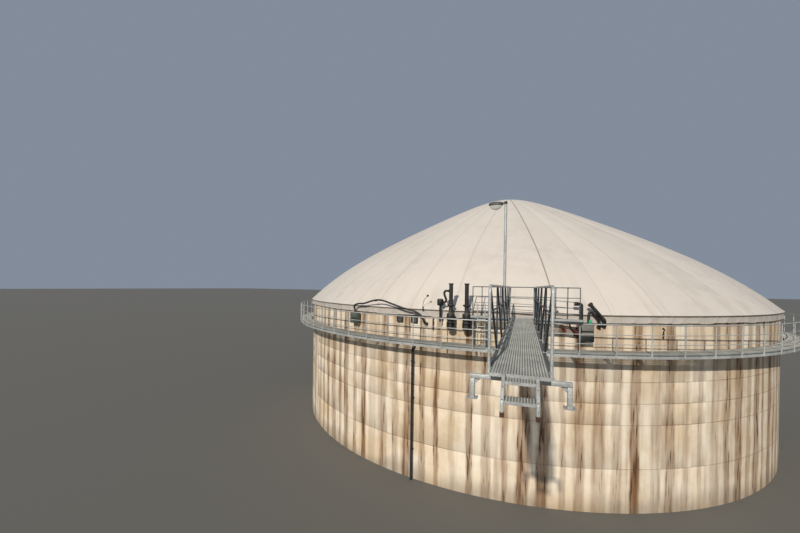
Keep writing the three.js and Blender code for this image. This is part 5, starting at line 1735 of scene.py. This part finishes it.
# %% Vent pot and goose-neck
POT_PROFILE = [
    (0, 6.540), (0.040, 6.540), (0.040, 6.980), (0.048, 6.984), (0.048, 7.030),
    (0.040, 7.034), (0.040, 7.146),
    (0.046, 7.152), (0.121, 7.186), (0.125, 7.192), (0.125, 7.272), (0.119, 7.276), (0.119, 7.286),
    (0.125, 7.290), (0.125, 7.376), (0.121, 7.384), (0.094, 7.425), (0.084, 7.429), (0, 7.430),
]
POT_PIPE_HEIGHT, POT_PIPE_RADIUS = 6.600, 0.036
pot = joined([
    lathe(POT_PROFILE), *bolt_ring(7.275, 0.113, 8, 0.007, 0.014),
    *wall_pipe(0, VENT_POT[2], POT_PIPE_HEIGHT, POT_PIPE_RADIUS),
])
dress(on_wall(pot, VENT_POT), "pot", ["vent_pot"], black_plastic)

NECK_RADIUS, NECK_SOCKET = 0.042, 0.050
NECK_START, NECK_LOW, NECK_TOP = 0.1259, 7.295, 7.740
neck_out = GUARD_1[2] - VENT_POT[2]
neck_end = GUARD_1[1] - VENT_POT[1] - 0.0756
neck = pipe([
    spot(NECK_START, 0, NECK_LOW), spot(0.185, 0, NECK_LOW), spot(0.243, 0.020, 7.370),
    spot(0.225, 0.045, 7.480), spot(0.188, 0.055, 7.576), spot(0.178, neck_out, 7.660),
    spot(0.225, neck_out, 7.732), spot(0.300, neck_out, NECK_TOP), spot(neck_end, neck_out, NECK_TOP),
], NECK_RADIUS, 18, steps=8)
sockets = [
    rod(spot(NECK_START, 0, NECK_LOW), spot(0.160, 0, NECK_LOW), NECK_SOCKET, sides=20),
    rod(
        spot(neck_end - 0.040, neck_out, NECK_TOP), spot(neck_end, neck_out, NECK_TOP),
        NECK_SOCKET, sides=20,
    ),
]
neck = on_wall(joined([neck, *sockets]), VENT_POT)
dress(neck, "goose_neck", ["vent_gooseneck"], black_plastic)

# %% Down pipe
DOWN_RADIUS, DOWN_BEND = 0.050, 0.085
DOWN_TOP = 5.400
DOWN_FLANGE, DOWN_FLANGE_THICK = 0.075, 0.0135
SOCKET_HEIGHTS, STRAP_HEIGHTS = (4.30, 2.25), (3.300, 1.200)
down_out = DOWN_PIPE[2]
down_route = [spot(0, -down_out, DOWN_TOP), spot(0, 0, DOWN_TOP), spot(0, 0, 0)]
down = [bent_tube(down_route, DOWN_RADIUS, DOWN_BEND, 20)]
down += wall_flange(0, down_out, DOWN_TOP, DOWN_RADIUS)
for low in (4.835, 4.8515):
    high = low + DOWN_FLANGE_THICK
    down.append(lathe([
        (0, low), (DOWN_FLANGE - 0.002, low), (DOWN_FLANGE, low + 0.002), (DOWN_FLANGE, high - 0.002),
        (DOWN_FLANGE - 0.002, high), (0, high),
    ]))
for z in (4.865, 4.827):
    down += bolt_ring(z, 0.064, 8, 0.008, 0.008)
for z in STRAP_HEIGHTS:
    down.append(lathe([(0.049, z), (0.0535, z), (0.0535, z + 0.050), (0.049, z + 0.050)]))
    down.append(wall_block((-0.012, 0.012), (0, -down_out), (z, z + 0.050), 0.002))
    down.append(wall_block((-0.045, 0.045), (-down_out + 0.008, -down_out), (z - 0.012, z + 0.062), 0.002))
    down += [wall_bolt(x, -down_out + 0.008, z + 0.025, 0.007, 0.006) for x in (-0.03, 0.03)]
for z in SOCKET_HEIGHTS:
    down.append(lathe([(0.049, z), (0.057, z + 0.003), (0.057, z + 0.087), (0.049, z + 0.090)]))
dress(on_wall(joined(down), DOWN_PIPE), "drain_pipe", ["down_pipe"], black_plastic)

# %% [markdown]
# ## Air blower and its pipe
# The blower is a sheet-metal hood on two upright rails. Its lid stands a little proud, slanted louvres let
# the air in, and a black pipe leaves its top, arches over the wall's head and comes down to the wall again.
# The pipe's route is drawn as azimuths and heights round the tank, because it follows the wall.

# %% Blower
MOUNT_PLACES, MOUNT_HALF, MOUNT_SHORT = (-0.160, 0.160), 0.020, 0.040


def mount_rails(out, low, top):
    """Two upright rails between a housing and the wall, bolted at both ends."""
    pieces = []
    for x in MOUNT_PLACES:
        ends = (low + MOUNT_SHORT, top - MOUNT_SHORT)
        pieces.append(wall_block((x - MOUNT_HALF, x + MOUNT_HALF), (0.001, -out), ends, 0.003))
        pieces += [wall_bolt(x, 0.001, z, 0.008, 0.006) for z in (low + 0.06, top - 0.06)]
    return pieces


BLOWER_LOW, BLOWER_TOP, BLOWER_HALF, BLOWER_DEEP = 6.160, 6.640, 0.240, 0.240
LID_THICK, LID_INSET = 0.014, 0.016
LOUVRES, LOUVRE_STEP, LOUVRE_HALF = 9, 0.024, 0.150
lid_back = BLOWER_DEEP - LID_THICK
louvre_back = BLOWER_DEEP - 0.006
lid_edge = BLOWER_HALF - LID_INSET
blower = [
    wall_block((-BLOWER_HALF, BLOWER_HALF), (0, lid_back), (BLOWER_LOW, BLOWER_TOP), 0.012, 3),
    wall_block(
        (-lid_edge, lid_edge), (lid_back - 0.006, BLOWER_DEEP - 0.004),
        (BLOWER_LOW + 0.020, BLOWER_TOP - 0.045), 0.006, 2,
    ),
    lathe([(0, 6.630), (0.060, 6.630), (0.060, 6.6395), (0, 6.6395)], 0, BLOWER_DEEP / 2),
    *mount_rails(AIR_BLOWER[2], BLOWER_LOW, BLOWER_TOP),
]
for i in range(LOUVRES):
    z = BLOWER_LOW + 0.060 + LOUVRE_STEP * i
    corners = ((louvre_back, z + 0.016), (BLOWER_DEEP - 0.0005, z), (louvre_back, z - 0.002))
    slat = [spot(-LOUVRE_HALF, out, height) for out, height in corners]
    blower.append(plate(slat, (2 * LOUVRE_HALF, 0, 0)))
for x in (-BLOWER_HALF + 0.030, BLOWER_HALF - 0.030):
    for z in (BLOWER_LOW + 0.035, BLOWER_TOP - 0.060):
        blower.append(wall_bolt(x, BLOWER_DEEP - 0.005, z, 0.007, 0.0045))
for z in (6.30, 6.50):
    blower.append(wall_block(
        (-BLOWER_HALF, -BLOWER_HALF + 0.030), (lid_back - 0.03, BLOWER_DEEP - 0.001), (z, z + 0.05), 0.004
    ))
dress(on_wall(joined(blower), AIR_BLOWER), "blower", ["air_blower"], blower_paint)

# %% Air pipe
AIR_RADIUS = 0.038
AIR_OUT = 0.300
AIR_ARCH = [
    (-25.2, 6.960), (-24.2, 7.060), (-22.5, 7.100), (-20.4, 7.235), (-18.6, 7.285), (-16.0, 7.150),
    (-13.7, 7.000), (-11.6, 6.900), (-10.58, 6.777), (-10.04, 6.645), (-9.87, 6.510),
]
AIR_END_HEIGHT = 6.400
AIR_SLEEVES = (3, 6)
SLEEVE_RADIUS, SLEEVE_HALF = 0.0425, 0.050
blower_top = by_wall(AIR_BLOWER) @ spot(0, BLOWER_DEEP / 2, BLOWER_TOP)
blower_neck = by_wall(AIR_BLOWER) @ spot(0, BLOWER_DEEP / 2, BLOWER_TOP + 2 * AIR_RADIUS)
arch = [around(azimuth, WALL_FLAT + AIR_OUT, height) for azimuth, height in AIR_ARCH]
end_turn = by_wall(AIR_PIPE_END) @ spot(0, AIR_OUT / 2, AIR_END_HEIGHT)
end_wall = by_wall(AIR_PIPE_END) @ spot(0, WALL_FLANGE, AIR_END_HEIGHT)
air = [pipe([blower_top, blower_neck, *arch, end_turn, end_wall], AIR_RADIUS, 18, steps=8)]
air.append(rod(blower_top, blower_top.lerp(blower_neck, 0.75), 0.046, sides=20))
for i in AIR_SLEEVES:
    middle = (arch[i] + arch[i + 1]) / 2
    along = (arch[i + 1] - arch[i]).normalized() * SLEEVE_HALF
    air.append(rod(middle - along, middle + along, SLEEVE_RADIUS, sides=20))
air += [on_wall(piece, AIR_PIPE_END) for piece in wall_flange(0, 0.0, AIR_END_HEIGHT, AIR_RADIUS)]
dress(joined(air), "air_line", ["air_pipe"], black_plastic)

# %% [markdown]
# ## Windows, cabinet and pipes beside it
# A window is a deep cast frame with a thick pane and a ring of bolts. The cabinet hangs on two rails. It
# has a pale upper door, a gap between the doors painted dark as shade, a lower door and a dark plinth, and
# two green glands on its top. One black pipe stands on it as a vent, and one bends over into the wall. The
# slanting pipe beside them is open at its socket and has a brown mouth.

# %% Inspection windows
WINDOW_HALF, WINDOW_LOW, WINDOW_DEEP, WINDOW_RIM, WINDOW_PLATE = 0.145, 6.405, 0.090, 0.040, 0.020
PANE_BACK, PANE_FRONT = 0.045, 0.050
window_top = WINDOW_LOW + 2 * WINDOW_HALF
window_middle = WINDOW_LOW + WINDOW_HALF
window_inner = WINDOW_HALF - WINDOW_RIM
whole, upright_run = (-WINDOW_HALF, WINDOW_HALF), (WINDOW_LOW, window_top)
low_rim, top_rim = WINDOW_LOW + WINDOW_RIM, window_top - WINDOW_RIM
for index, place in enumerate(WINDOWS):
    window = [
        wall_block(whole, (0, WINDOW_PLATE), upright_run, 0.003),
        wall_block(whole, (0, WINDOW_DEEP), (WINDOW_LOW, low_rim), 0.005, 2),
        wall_block(whole, (0, WINDOW_DEEP), (top_rim, window_top), 0.005, 2),
        wall_block((-WINDOW_HALF, -window_inner), (0, WINDOW_DEEP - 0.0006), upright_run, 0.005, 2),
        wall_block((window_inner, WINDOW_HALF), (0, WINDOW_DEEP - 0.0006), upright_run, 0.005, 2),
    ]
    reach = WINDOW_HALF - WINDOW_RIM / 2
    for at in (-0.075, 0.0, 0.075):
        for x, z in ((at, -reach), (at, reach), (-reach, at), (reach, at)):
            window.append(wall_bolt(x, WINDOW_DEEP - 0.002, window_middle + z, 0.009, 0.0068))
    pane = wall_block((-window_inner, window_inner), (PANE_BACK, PANE_FRONT), (low_rim, top_rim), 0.001)
    window = joined([painted(joined(window), dark_housing), painted(pane, pane_glass)])
    dress(
        on_wall(window, place), f"window_{index + 1}", [f"inspection_window_{index + 1}"]
    )

# %% Cabinet
CABINET_HALF, CABINET_DEEP, CABINET_LOW, CABINET_TOP = 0.235, 0.240, 6.070, 6.665
PLINTH_TOP = 6.262
DOOR_GAP = (6.415, 6.437)
DOOR_INSET = 0.008
HINGE_HEIGHTS, LOCK_HEIGHTS = (6.48, 6.62, 6.32), (6.53, 6.345)
body_front = CABINET_DEEP - 0.022
across, hinge_x, lock_x = (-CABINET_HALF, CABINET_HALF), CABINET_HALF - 0.016, -CABINET_HALF + 0.045
door_across = (-CABINET_HALF + DOOR_INSET, CABINET_HALF - DOOR_INSET)
door_outs = (body_front - 0.004, CABINET_DEEP - 0.006)
pale = [
    wall_block(across, (0, body_front), (DOOR_GAP[1], CABINET_TOP - 0.012), 0.006, 2),
    wall_block(door_across, door_outs, (DOOR_GAP[1] + 0.006, CABINET_TOP - 0.020), 0.006, 2),
    wall_block(across, (0, CABINET_DEEP), (CABINET_TOP - 0.014, CABINET_TOP), 0.005, 2),
    wall_block(across, (0, body_front), (PLINTH_TOP, DOOR_GAP[0]), 0.006, 2),
    wall_block(door_across, door_outs, (PLINTH_TOP + 0.006, DOOR_GAP[0] - 0.004), 0.006, 2),
]
dark = [
    # The core seen in the gap between the doors is painted dark, as painted shade in the gap.
    wall_block(
        (-CABINET_HALF + 0.010, CABINET_HALF - 0.010), (0, body_front - 0.020),
        (PLINTH_TOP - 0.01, CABINET_TOP - 0.02),
    ),
    wall_block(across, (0, CABINET_DEEP - 0.010), (CABINET_LOW, PLINTH_TOP - 0.003), 0.006, 2),
    *mount_rails(CABINET[2], CABINET_LOW, CABINET_TOP),
]
for z in HINGE_HEIGHTS:
    low, high = (spot(hinge_x, CABINET_DEEP - 0.008, z + rise) for rise in (-0.018, 0.018))
    dark.append(rod(low, high, 0.007, sides=10))
dark += [stub(lock_x, z, CABINET_DEEP - 0.010, CABINET_DEEP - 0.001, 0.014, sides=14) for z in LOCK_HEIGHTS]
cabinet = joined([painted(joined(pale), cabinet_paint), painted(joined(dark), dark_housing)])
dress(on_wall(cabinet, CABINET), "cabinet", ["control_cabinet"])

# %% Glands
GLAND_OUT = 0.190
GLAND_PROFILE = [
    (0, 0), (0.048, 0), (0.050, 0.003), (0.050, 0.038), (0.043, 0.043), (0.043, 0.054), (0.050, 0.060),
    (0.050, 0.112), (0.045, 0.126), (0.033, 0.140), (0.031, 0.161), (0.027, 0.165), (0, 0.165),
]
GLAND_RIBS, GLAND_RIB_RING = 12, 0.0475
for x, label in ((-0.166, "left"), (0.105, "right")):
    gland = [lathe(GLAND_PROFILE, x, GLAND_OUT, 24, CABINET_TOP)]
    for i in range(GLAND_RIBS):
        turn = 2 * math.pi * i / GLAND_RIBS
        rib_x, rib_out = x + GLAND_RIB_RING * math.cos(turn), GLAND_OUT + GLAND_RIB_RING * math.sin(turn)
        low, high = (spot(rib_x, rib_out, CABINET_TOP + rise) for rise in (0.062, 0.110))
        gland.append(rod(low, high, 0.0025, sides=6))
    gland = on_wall(joined(gland), CABINET)
    dress(gland, f"gland_{label}", [f"cabinet_gland_{label}"], green_plastic)

# %% Elbow vent
PIPES_OUT = 0.060
ELBOW_X, ELBOW_RADIUS, ELBOW_HEIGHT, ELBOW_BEND = -0.120, 0.045, 7.363, 0.070
HEAD_RIGHT = -0.221
HEAD_PROFILE = [
    (0, 0), (0.054, 0), (0.060, 0.004), (0.072, 0.034), (0.072, 0.058), (0.065, 0.062), (0.072, 0.066),
    (0.072, 0.152), (0.068, 0.158), (0, 0.158),
]
ELBOW_FOOT = [(0, 0), (0.055, 0), (0.055, 0.018), (0.049, 0.024), (0.046, 0.036), (0, 0.036)]
elbow_route = [
    spot(ELBOW_X, PIPES_OUT, CABINET_TOP), spot(ELBOW_X, PIPES_OUT, ELBOW_HEIGHT),
    spot(HEAD_RIGHT - 0.020, PIPES_OUT, ELBOW_HEIGHT),
]
head_turn = Matrix.Rotation(math.radians(-90), 4, "Y")
lay_down = Matrix.Translation(spot(HEAD_RIGHT, PIPES_OUT, ELBOW_HEIGHT)) @ head_turn
elbow = joined([
    bent_tube(elbow_route, ELBOW_RADIUS, ELBOW_BEND, 20),
    lathe(ELBOW_FOOT, ELBOW_X, PIPES_OUT, 24, CABINET_TOP + 0.0002),
    moved(lathe(HEAD_PROFILE, steps=28), lay_down),
])
grille = moved(lathe([(0, 0.150), (0.060, 0.150), (0.060, 0.160), (0, 0.160)], steps=24), lay_down)
elbow = joined([painted(elbow, black_plastic), painted(grille, grid_steel)])
dress(on_wall(elbow, CABINET), "elbow_pipe", ["elbow_vent"])

# %% Bend from the cabinet into the wall
BEND_X, BEND_RADIUS, BEND_END_HEIGHT = 0.112, 0.045, 6.550
BEND_START = CABINET_TOP + 0.0003
BEND_ARCH = [
    (BEND_X, BEND_START), (BEND_X, 6.930), (0.122, 7.040), (0.165, 7.100), (0.225, 7.070),
    (0.300, 6.990), (0.375, 6.910), (0.425, 6.830), (0.452, 6.740), (0.480, 6.640),
]
BEND_FOOT = [(0, 0), (0.052, 0), (0.052, 0.030), (0.048, 0.036), (0.046, 0.048), (0, 0.048)]
SMALL_FLANGE = 0.046
bend_route = [by_wall(CABINET) @ spot(x, PIPES_OUT, z) for x, z in BEND_ARCH]
bend_route += [by_wall(BEND_END) @ spot(0, out, BEND_END_HEIGHT) for out in (0.080, WALL_FLANGE)]
foot = on_wall(lathe(BEND_FOOT, BEND_X, PIPES_OUT, 20, BEND_START), CABINET)
bend = painted(joined([pipe(bend_route, BEND_RADIUS, 18, steps=8), foot]), black_plastic)
bend_flange = on_wall(joined(wall_flange(0, 0.0, BEND_END_HEIGHT, SMALL_FLANGE)), BEND_END)
dress(joined([bend, painted(bend_flange, rust)]), "pipe_bend", ["cabinet_bend"])

# %% Slanting pipe
SLANT_RADIUS, SLANT_BEND, SLANTING_END_HEIGHT = 0.060, 0.070, 6.590
SOCKET_OUTSIDE, SOCKET_INSIDE, SOCKET_LONG = 0.086, 0.068, 0.060
slant_top, slant_corner = spot(-0.388, 0, 7.372), spot(0.115, 0, 6.808)
slant_way = (slant_top - slant_corner).normalized()
slant_route = [by_wall(SLANTING_PIPE) @ point for point in (slant_top - slant_way * 0.030, slant_corner)]
slant_route += [by_wall(SLANTING_END) @ spot(0, out, SLANTING_END_HEIGHT) for out in (0.090, WALL_FLANGE)]
socket_turn = slant_way.to_track_quat("Z", "Y").to_matrix().to_4x4()
socket = moved(
    turned([
        (SOCKET_INSIDE, 0), (SOCKET_OUTSIDE, 0), (SOCKET_OUTSIDE, SOCKET_LONG), (SOCKET_INSIDE, SOCKET_LONG),
    ], 28),
    Matrix.Translation(slant_top - slant_way * SOCKET_LONG) @ socket_turn,
)
collar = rod(slant_top - slant_way * 0.075, slant_top - slant_way * 0.055, 0.070, SOCKET_OUTSIDE, 24)
flange = joined(wall_flange(0, 0.0, SLANTING_END_HEIGHT, SMALL_FLANGE))
slant = joined([
    bent_tube(slant_route, SLANT_RADIUS, SLANT_BEND, 20),
    on_wall(joined([socket, collar]), SLANTING_PIPE), on_wall(flange, SLANTING_END),
])
mouth = rod(slant_top - slant_way * 0.040, slant_top - slant_way * 0.012, 0.0675, sides=24)
slant = joined([painted(slant, black_plastic), painted(on_wall(mouth, SLANTING_PIPE), rust)])
dress(slant, "slant_pipe", ["slanting_pipe"])

# %% [markdown]
# ## Valves and the small fittings
# A valve is a body on the wall with a bonnet, a stem and a red handwheel. The wheel is a torus with four
# tapered spokes and a hub, which is the form of a cast wheel. The pipes and taps beside the valves are
# tubes swept along a few points, because that keeps their bends round, as a bending tool leaves them.

# %% Valves with handwheels
VALVE_HEIGHTS = (6.447, 6.380)
WHEEL_RADIUS, WHEEL_BACK, WHEEL_FRONT = 0.078, 0.196, 0.218
WHEEL_WIRE = 0.0105
VALVE_STUBS = (
    (0, 0.090, 0.034, 0.034, 18), (0, 0.014, 0.045, 0.045, 20), (0.088, 0.120, 0.045, 0.030, 20),
    (0.118, 0.200, 0.013, 0.013, 12),
)
VALVE_BOLT = 0.027
wheel_middle = (WHEEL_BACK + WHEEL_FRONT) / 2
wheel_reach = WHEEL_RADIUS - WHEEL_WIRE
for index, (place, level) in enumerate(zip(VALVES, VALVE_HEIGHTS)):
    deselect()
    bpy.ops.mesh.primitive_torus_add(
        major_radius=wheel_reach, minor_radius=WHEEL_WIRE, major_segments=32, minor_segments=10,
        location=spot(0, wheel_middle, level), rotation=(math.radians(90), 0, 0),
    )
    wheel = [settled(bpy.context.object)]
    for angle in (45, 135, 225, 315):
        turn = math.radians(angle)
        rim = spot(wheel_reach * math.cos(turn), wheel_middle, level + wheel_reach * math.sin(turn))
        wheel.append(rod(spot(0, wheel_middle - 0.006, level), rim, 0.008, 0.006, 8))
    wheel.append(stub(0, level, WHEEL_BACK - 0.004, WHEEL_FRONT, 0.020, 0.016, 14))
    cast = [stub(0, level, *sizes) for sizes in VALVE_STUBS]
    cast.append(rod(spot(0, 0.055, level - 0.045), spot(0, 0.055, level + 0.045), 0.028, sides=16))
    for x in (-VALVE_BOLT, VALVE_BOLT):
        cast += [wall_bolt(x, 0.014, level + z, 0.006, 0.006) for z in (-VALVE_BOLT, VALVE_BOLT)]
    valve = joined([painted(joined(wheel), red_paint), painted(joined(cast), rust)])
    dress(on_wall(valve, place), f"handwheel_{index + 1}", [f"valve_{index + 1}"])

# %% Rusty pipe between the valves
RUSTY_TUBE, RUSTY_BEND = 0.024, 0.035
ROSE_RADIUS, ROSE_THICK = 0.040, 0.012
upper_route = [(-0.160, 0, 6.640), (-0.160, 0.070, 6.640), (-0.120, 0.070, 6.480), (-0.030, 0.055, 6.400)]
lower_route = [(0.004, 0.055, 6.340), (0.020, 0.060, 6.235), (0.040, 0, 6.200)]
riser = joined([
    bent_tube([spot(*point) for point in upper_route], RUSTY_TUBE, RUSTY_BEND, 14),
    bent_tube([spot(*point) for point in lower_route], 0.022, RUSTY_BEND, 14),
    stub(-0.160, 6.640, 0, ROSE_THICK, ROSE_RADIUS),
])
dress(on_wall(riser, VALVES[1]), "valve_riser", (), rust)

# %% Taps, drip pipe and branch
hose_route = [
    (0, 0, 6.530), (0, 0.040, 6.528), (0.016, 0.050, 6.480), (-0.014, 0.046, 6.420), (0, 0.034, 6.370),
    (0, 0.032, 6.340),
]
upper = joined([
    pipe([spot(*point) for point in hose_route], 0.018, 12, steps=8),
    lathe([(0, 6.335), (0.024, 6.335), (0.024, 6.362), (0, 6.362)], 0, 0.032, 16),
    stub(0, 6.530, 0, ROSE_THICK, 0.030),
])
lower = [rod(spot(0, 0.032, 6.180), spot(0, 0.032, 6.340), 0.020, sides=16)]
lower += [wall_block((-0.036, 0.036), (0, 0.032), (z, z + 0.020), 0.002) for z in (6.21, 6.30)]
fitting = joined([painted(upper, dark_housing), painted(joined(lower), rust)])
dress(on_wall(fitting, FITTING), "sample_tap", ["wall_fitting"])

tap_route = [spot(0, 0, 6.600), spot(0, 0.036, 6.600), spot(0.012, 0.046, 6.560), spot(0, 0.040, 6.480)]
tap = joined([
    pipe(tap_route, 0.016, 12),
    stub(0, 6.600, 0, ROSE_THICK, 0.028),
])
dress(on_wall(tap, SMALL_TAP), "small_tap", (), dark_housing)

drain = joined([
    bent_tube([spot(0, -0.002, 6.640), spot(0, 0.075, 6.640), spot(0, 0.075, 6.180)], RUSTY_TUBE, 0.045, 14),
    stub(0, 6.640, 0, ROSE_THICK, ROSE_RADIUS),
    *[wall_block((-0.034, 0.034), (0, 0.075), (z, z + 0.022), 0.002) for z in (6.260, 6.440)],
])
dress(on_wall(drain, DRAIN), "drip_pipe", (), rust)

BRANCH_OUT, BRANCH_HALF, BRANCH_HEIGHT = 0.110, 0.060, 6.620
branch_route = [
    spot(-BRANCH_HALF, BRANCH_OUT, 6.500), spot(-BRANCH_HALF, BRANCH_OUT, BRANCH_HEIGHT),
    spot(BRANCH_HALF, BRANCH_OUT, BRANCH_HEIGHT), spot(BRANCH_HALF, 0.0, BRANCH_HEIGHT),
]
branch = joined([
    bent_tube(branch_route, 0.022, 0.040, 14),
    stub(BRANCH_HALF, BRANCH_HEIGHT, 0, 0.014, ROSE_RADIUS),
    rod(spot(-BRANCH_HALF, BRANCH_OUT, 6.484), spot(-BRANCH_HALF, BRANCH_OUT, 6.516), 0.031, sides=6),
    rod(spot(-0.020, BRANCH_OUT, BRANCH_HEIGHT), spot(0.020, BRANCH_OUT, BRANCH_HEIGHT), 0.030, sides=6),
])
dress(on_wall(branch, BRANCH), "rusty_branch", (), rust)

# %% [markdown]
# ## Float gauge
# A thin rod with a dark ball on its end stands on the hem of the roof. It is taken for a gauge that shows
# how full the roof is. The rod is swept along a slight curve, and the ball is a plain sphere.

# %% Float gauge on the hem
GAUGE_AZIMUTH = -10.4
gauge_foot, gauge_top = around(GAUGE_AZIMUTH, 14.110, 6.945), around(-9.4, 14.200, 7.530)
gauge_bends = [around(-10.42, 14.112, 7.090), around(-10.28, 14.135, 7.260), around(-9.88, 14.170, 7.420)]
stem = joined([
    pipe([gauge_foot, *gauge_bends, gauge_top], 0.009, 8),
    rod(around(GAUGE_AZIMUTH, 14.110, 6.930), around(GAUGE_AZIMUTH, 14.112, 7.090), 0.022),
    moved(block((-0.035, -14.115, 6.925), (0.035, -14.040, 6.990), 0.003), turn_to(GAUGE_AZIMUTH)),
])
deselect()
bpy.ops.mesh.primitive_uv_sphere_add(segments=20, ring_count=12, radius=0.045, location=gauge_top)
gauge = joined([stem, settled(bpy.context.object)])
dress(gauge, "float_gauge", (), black_plastic)
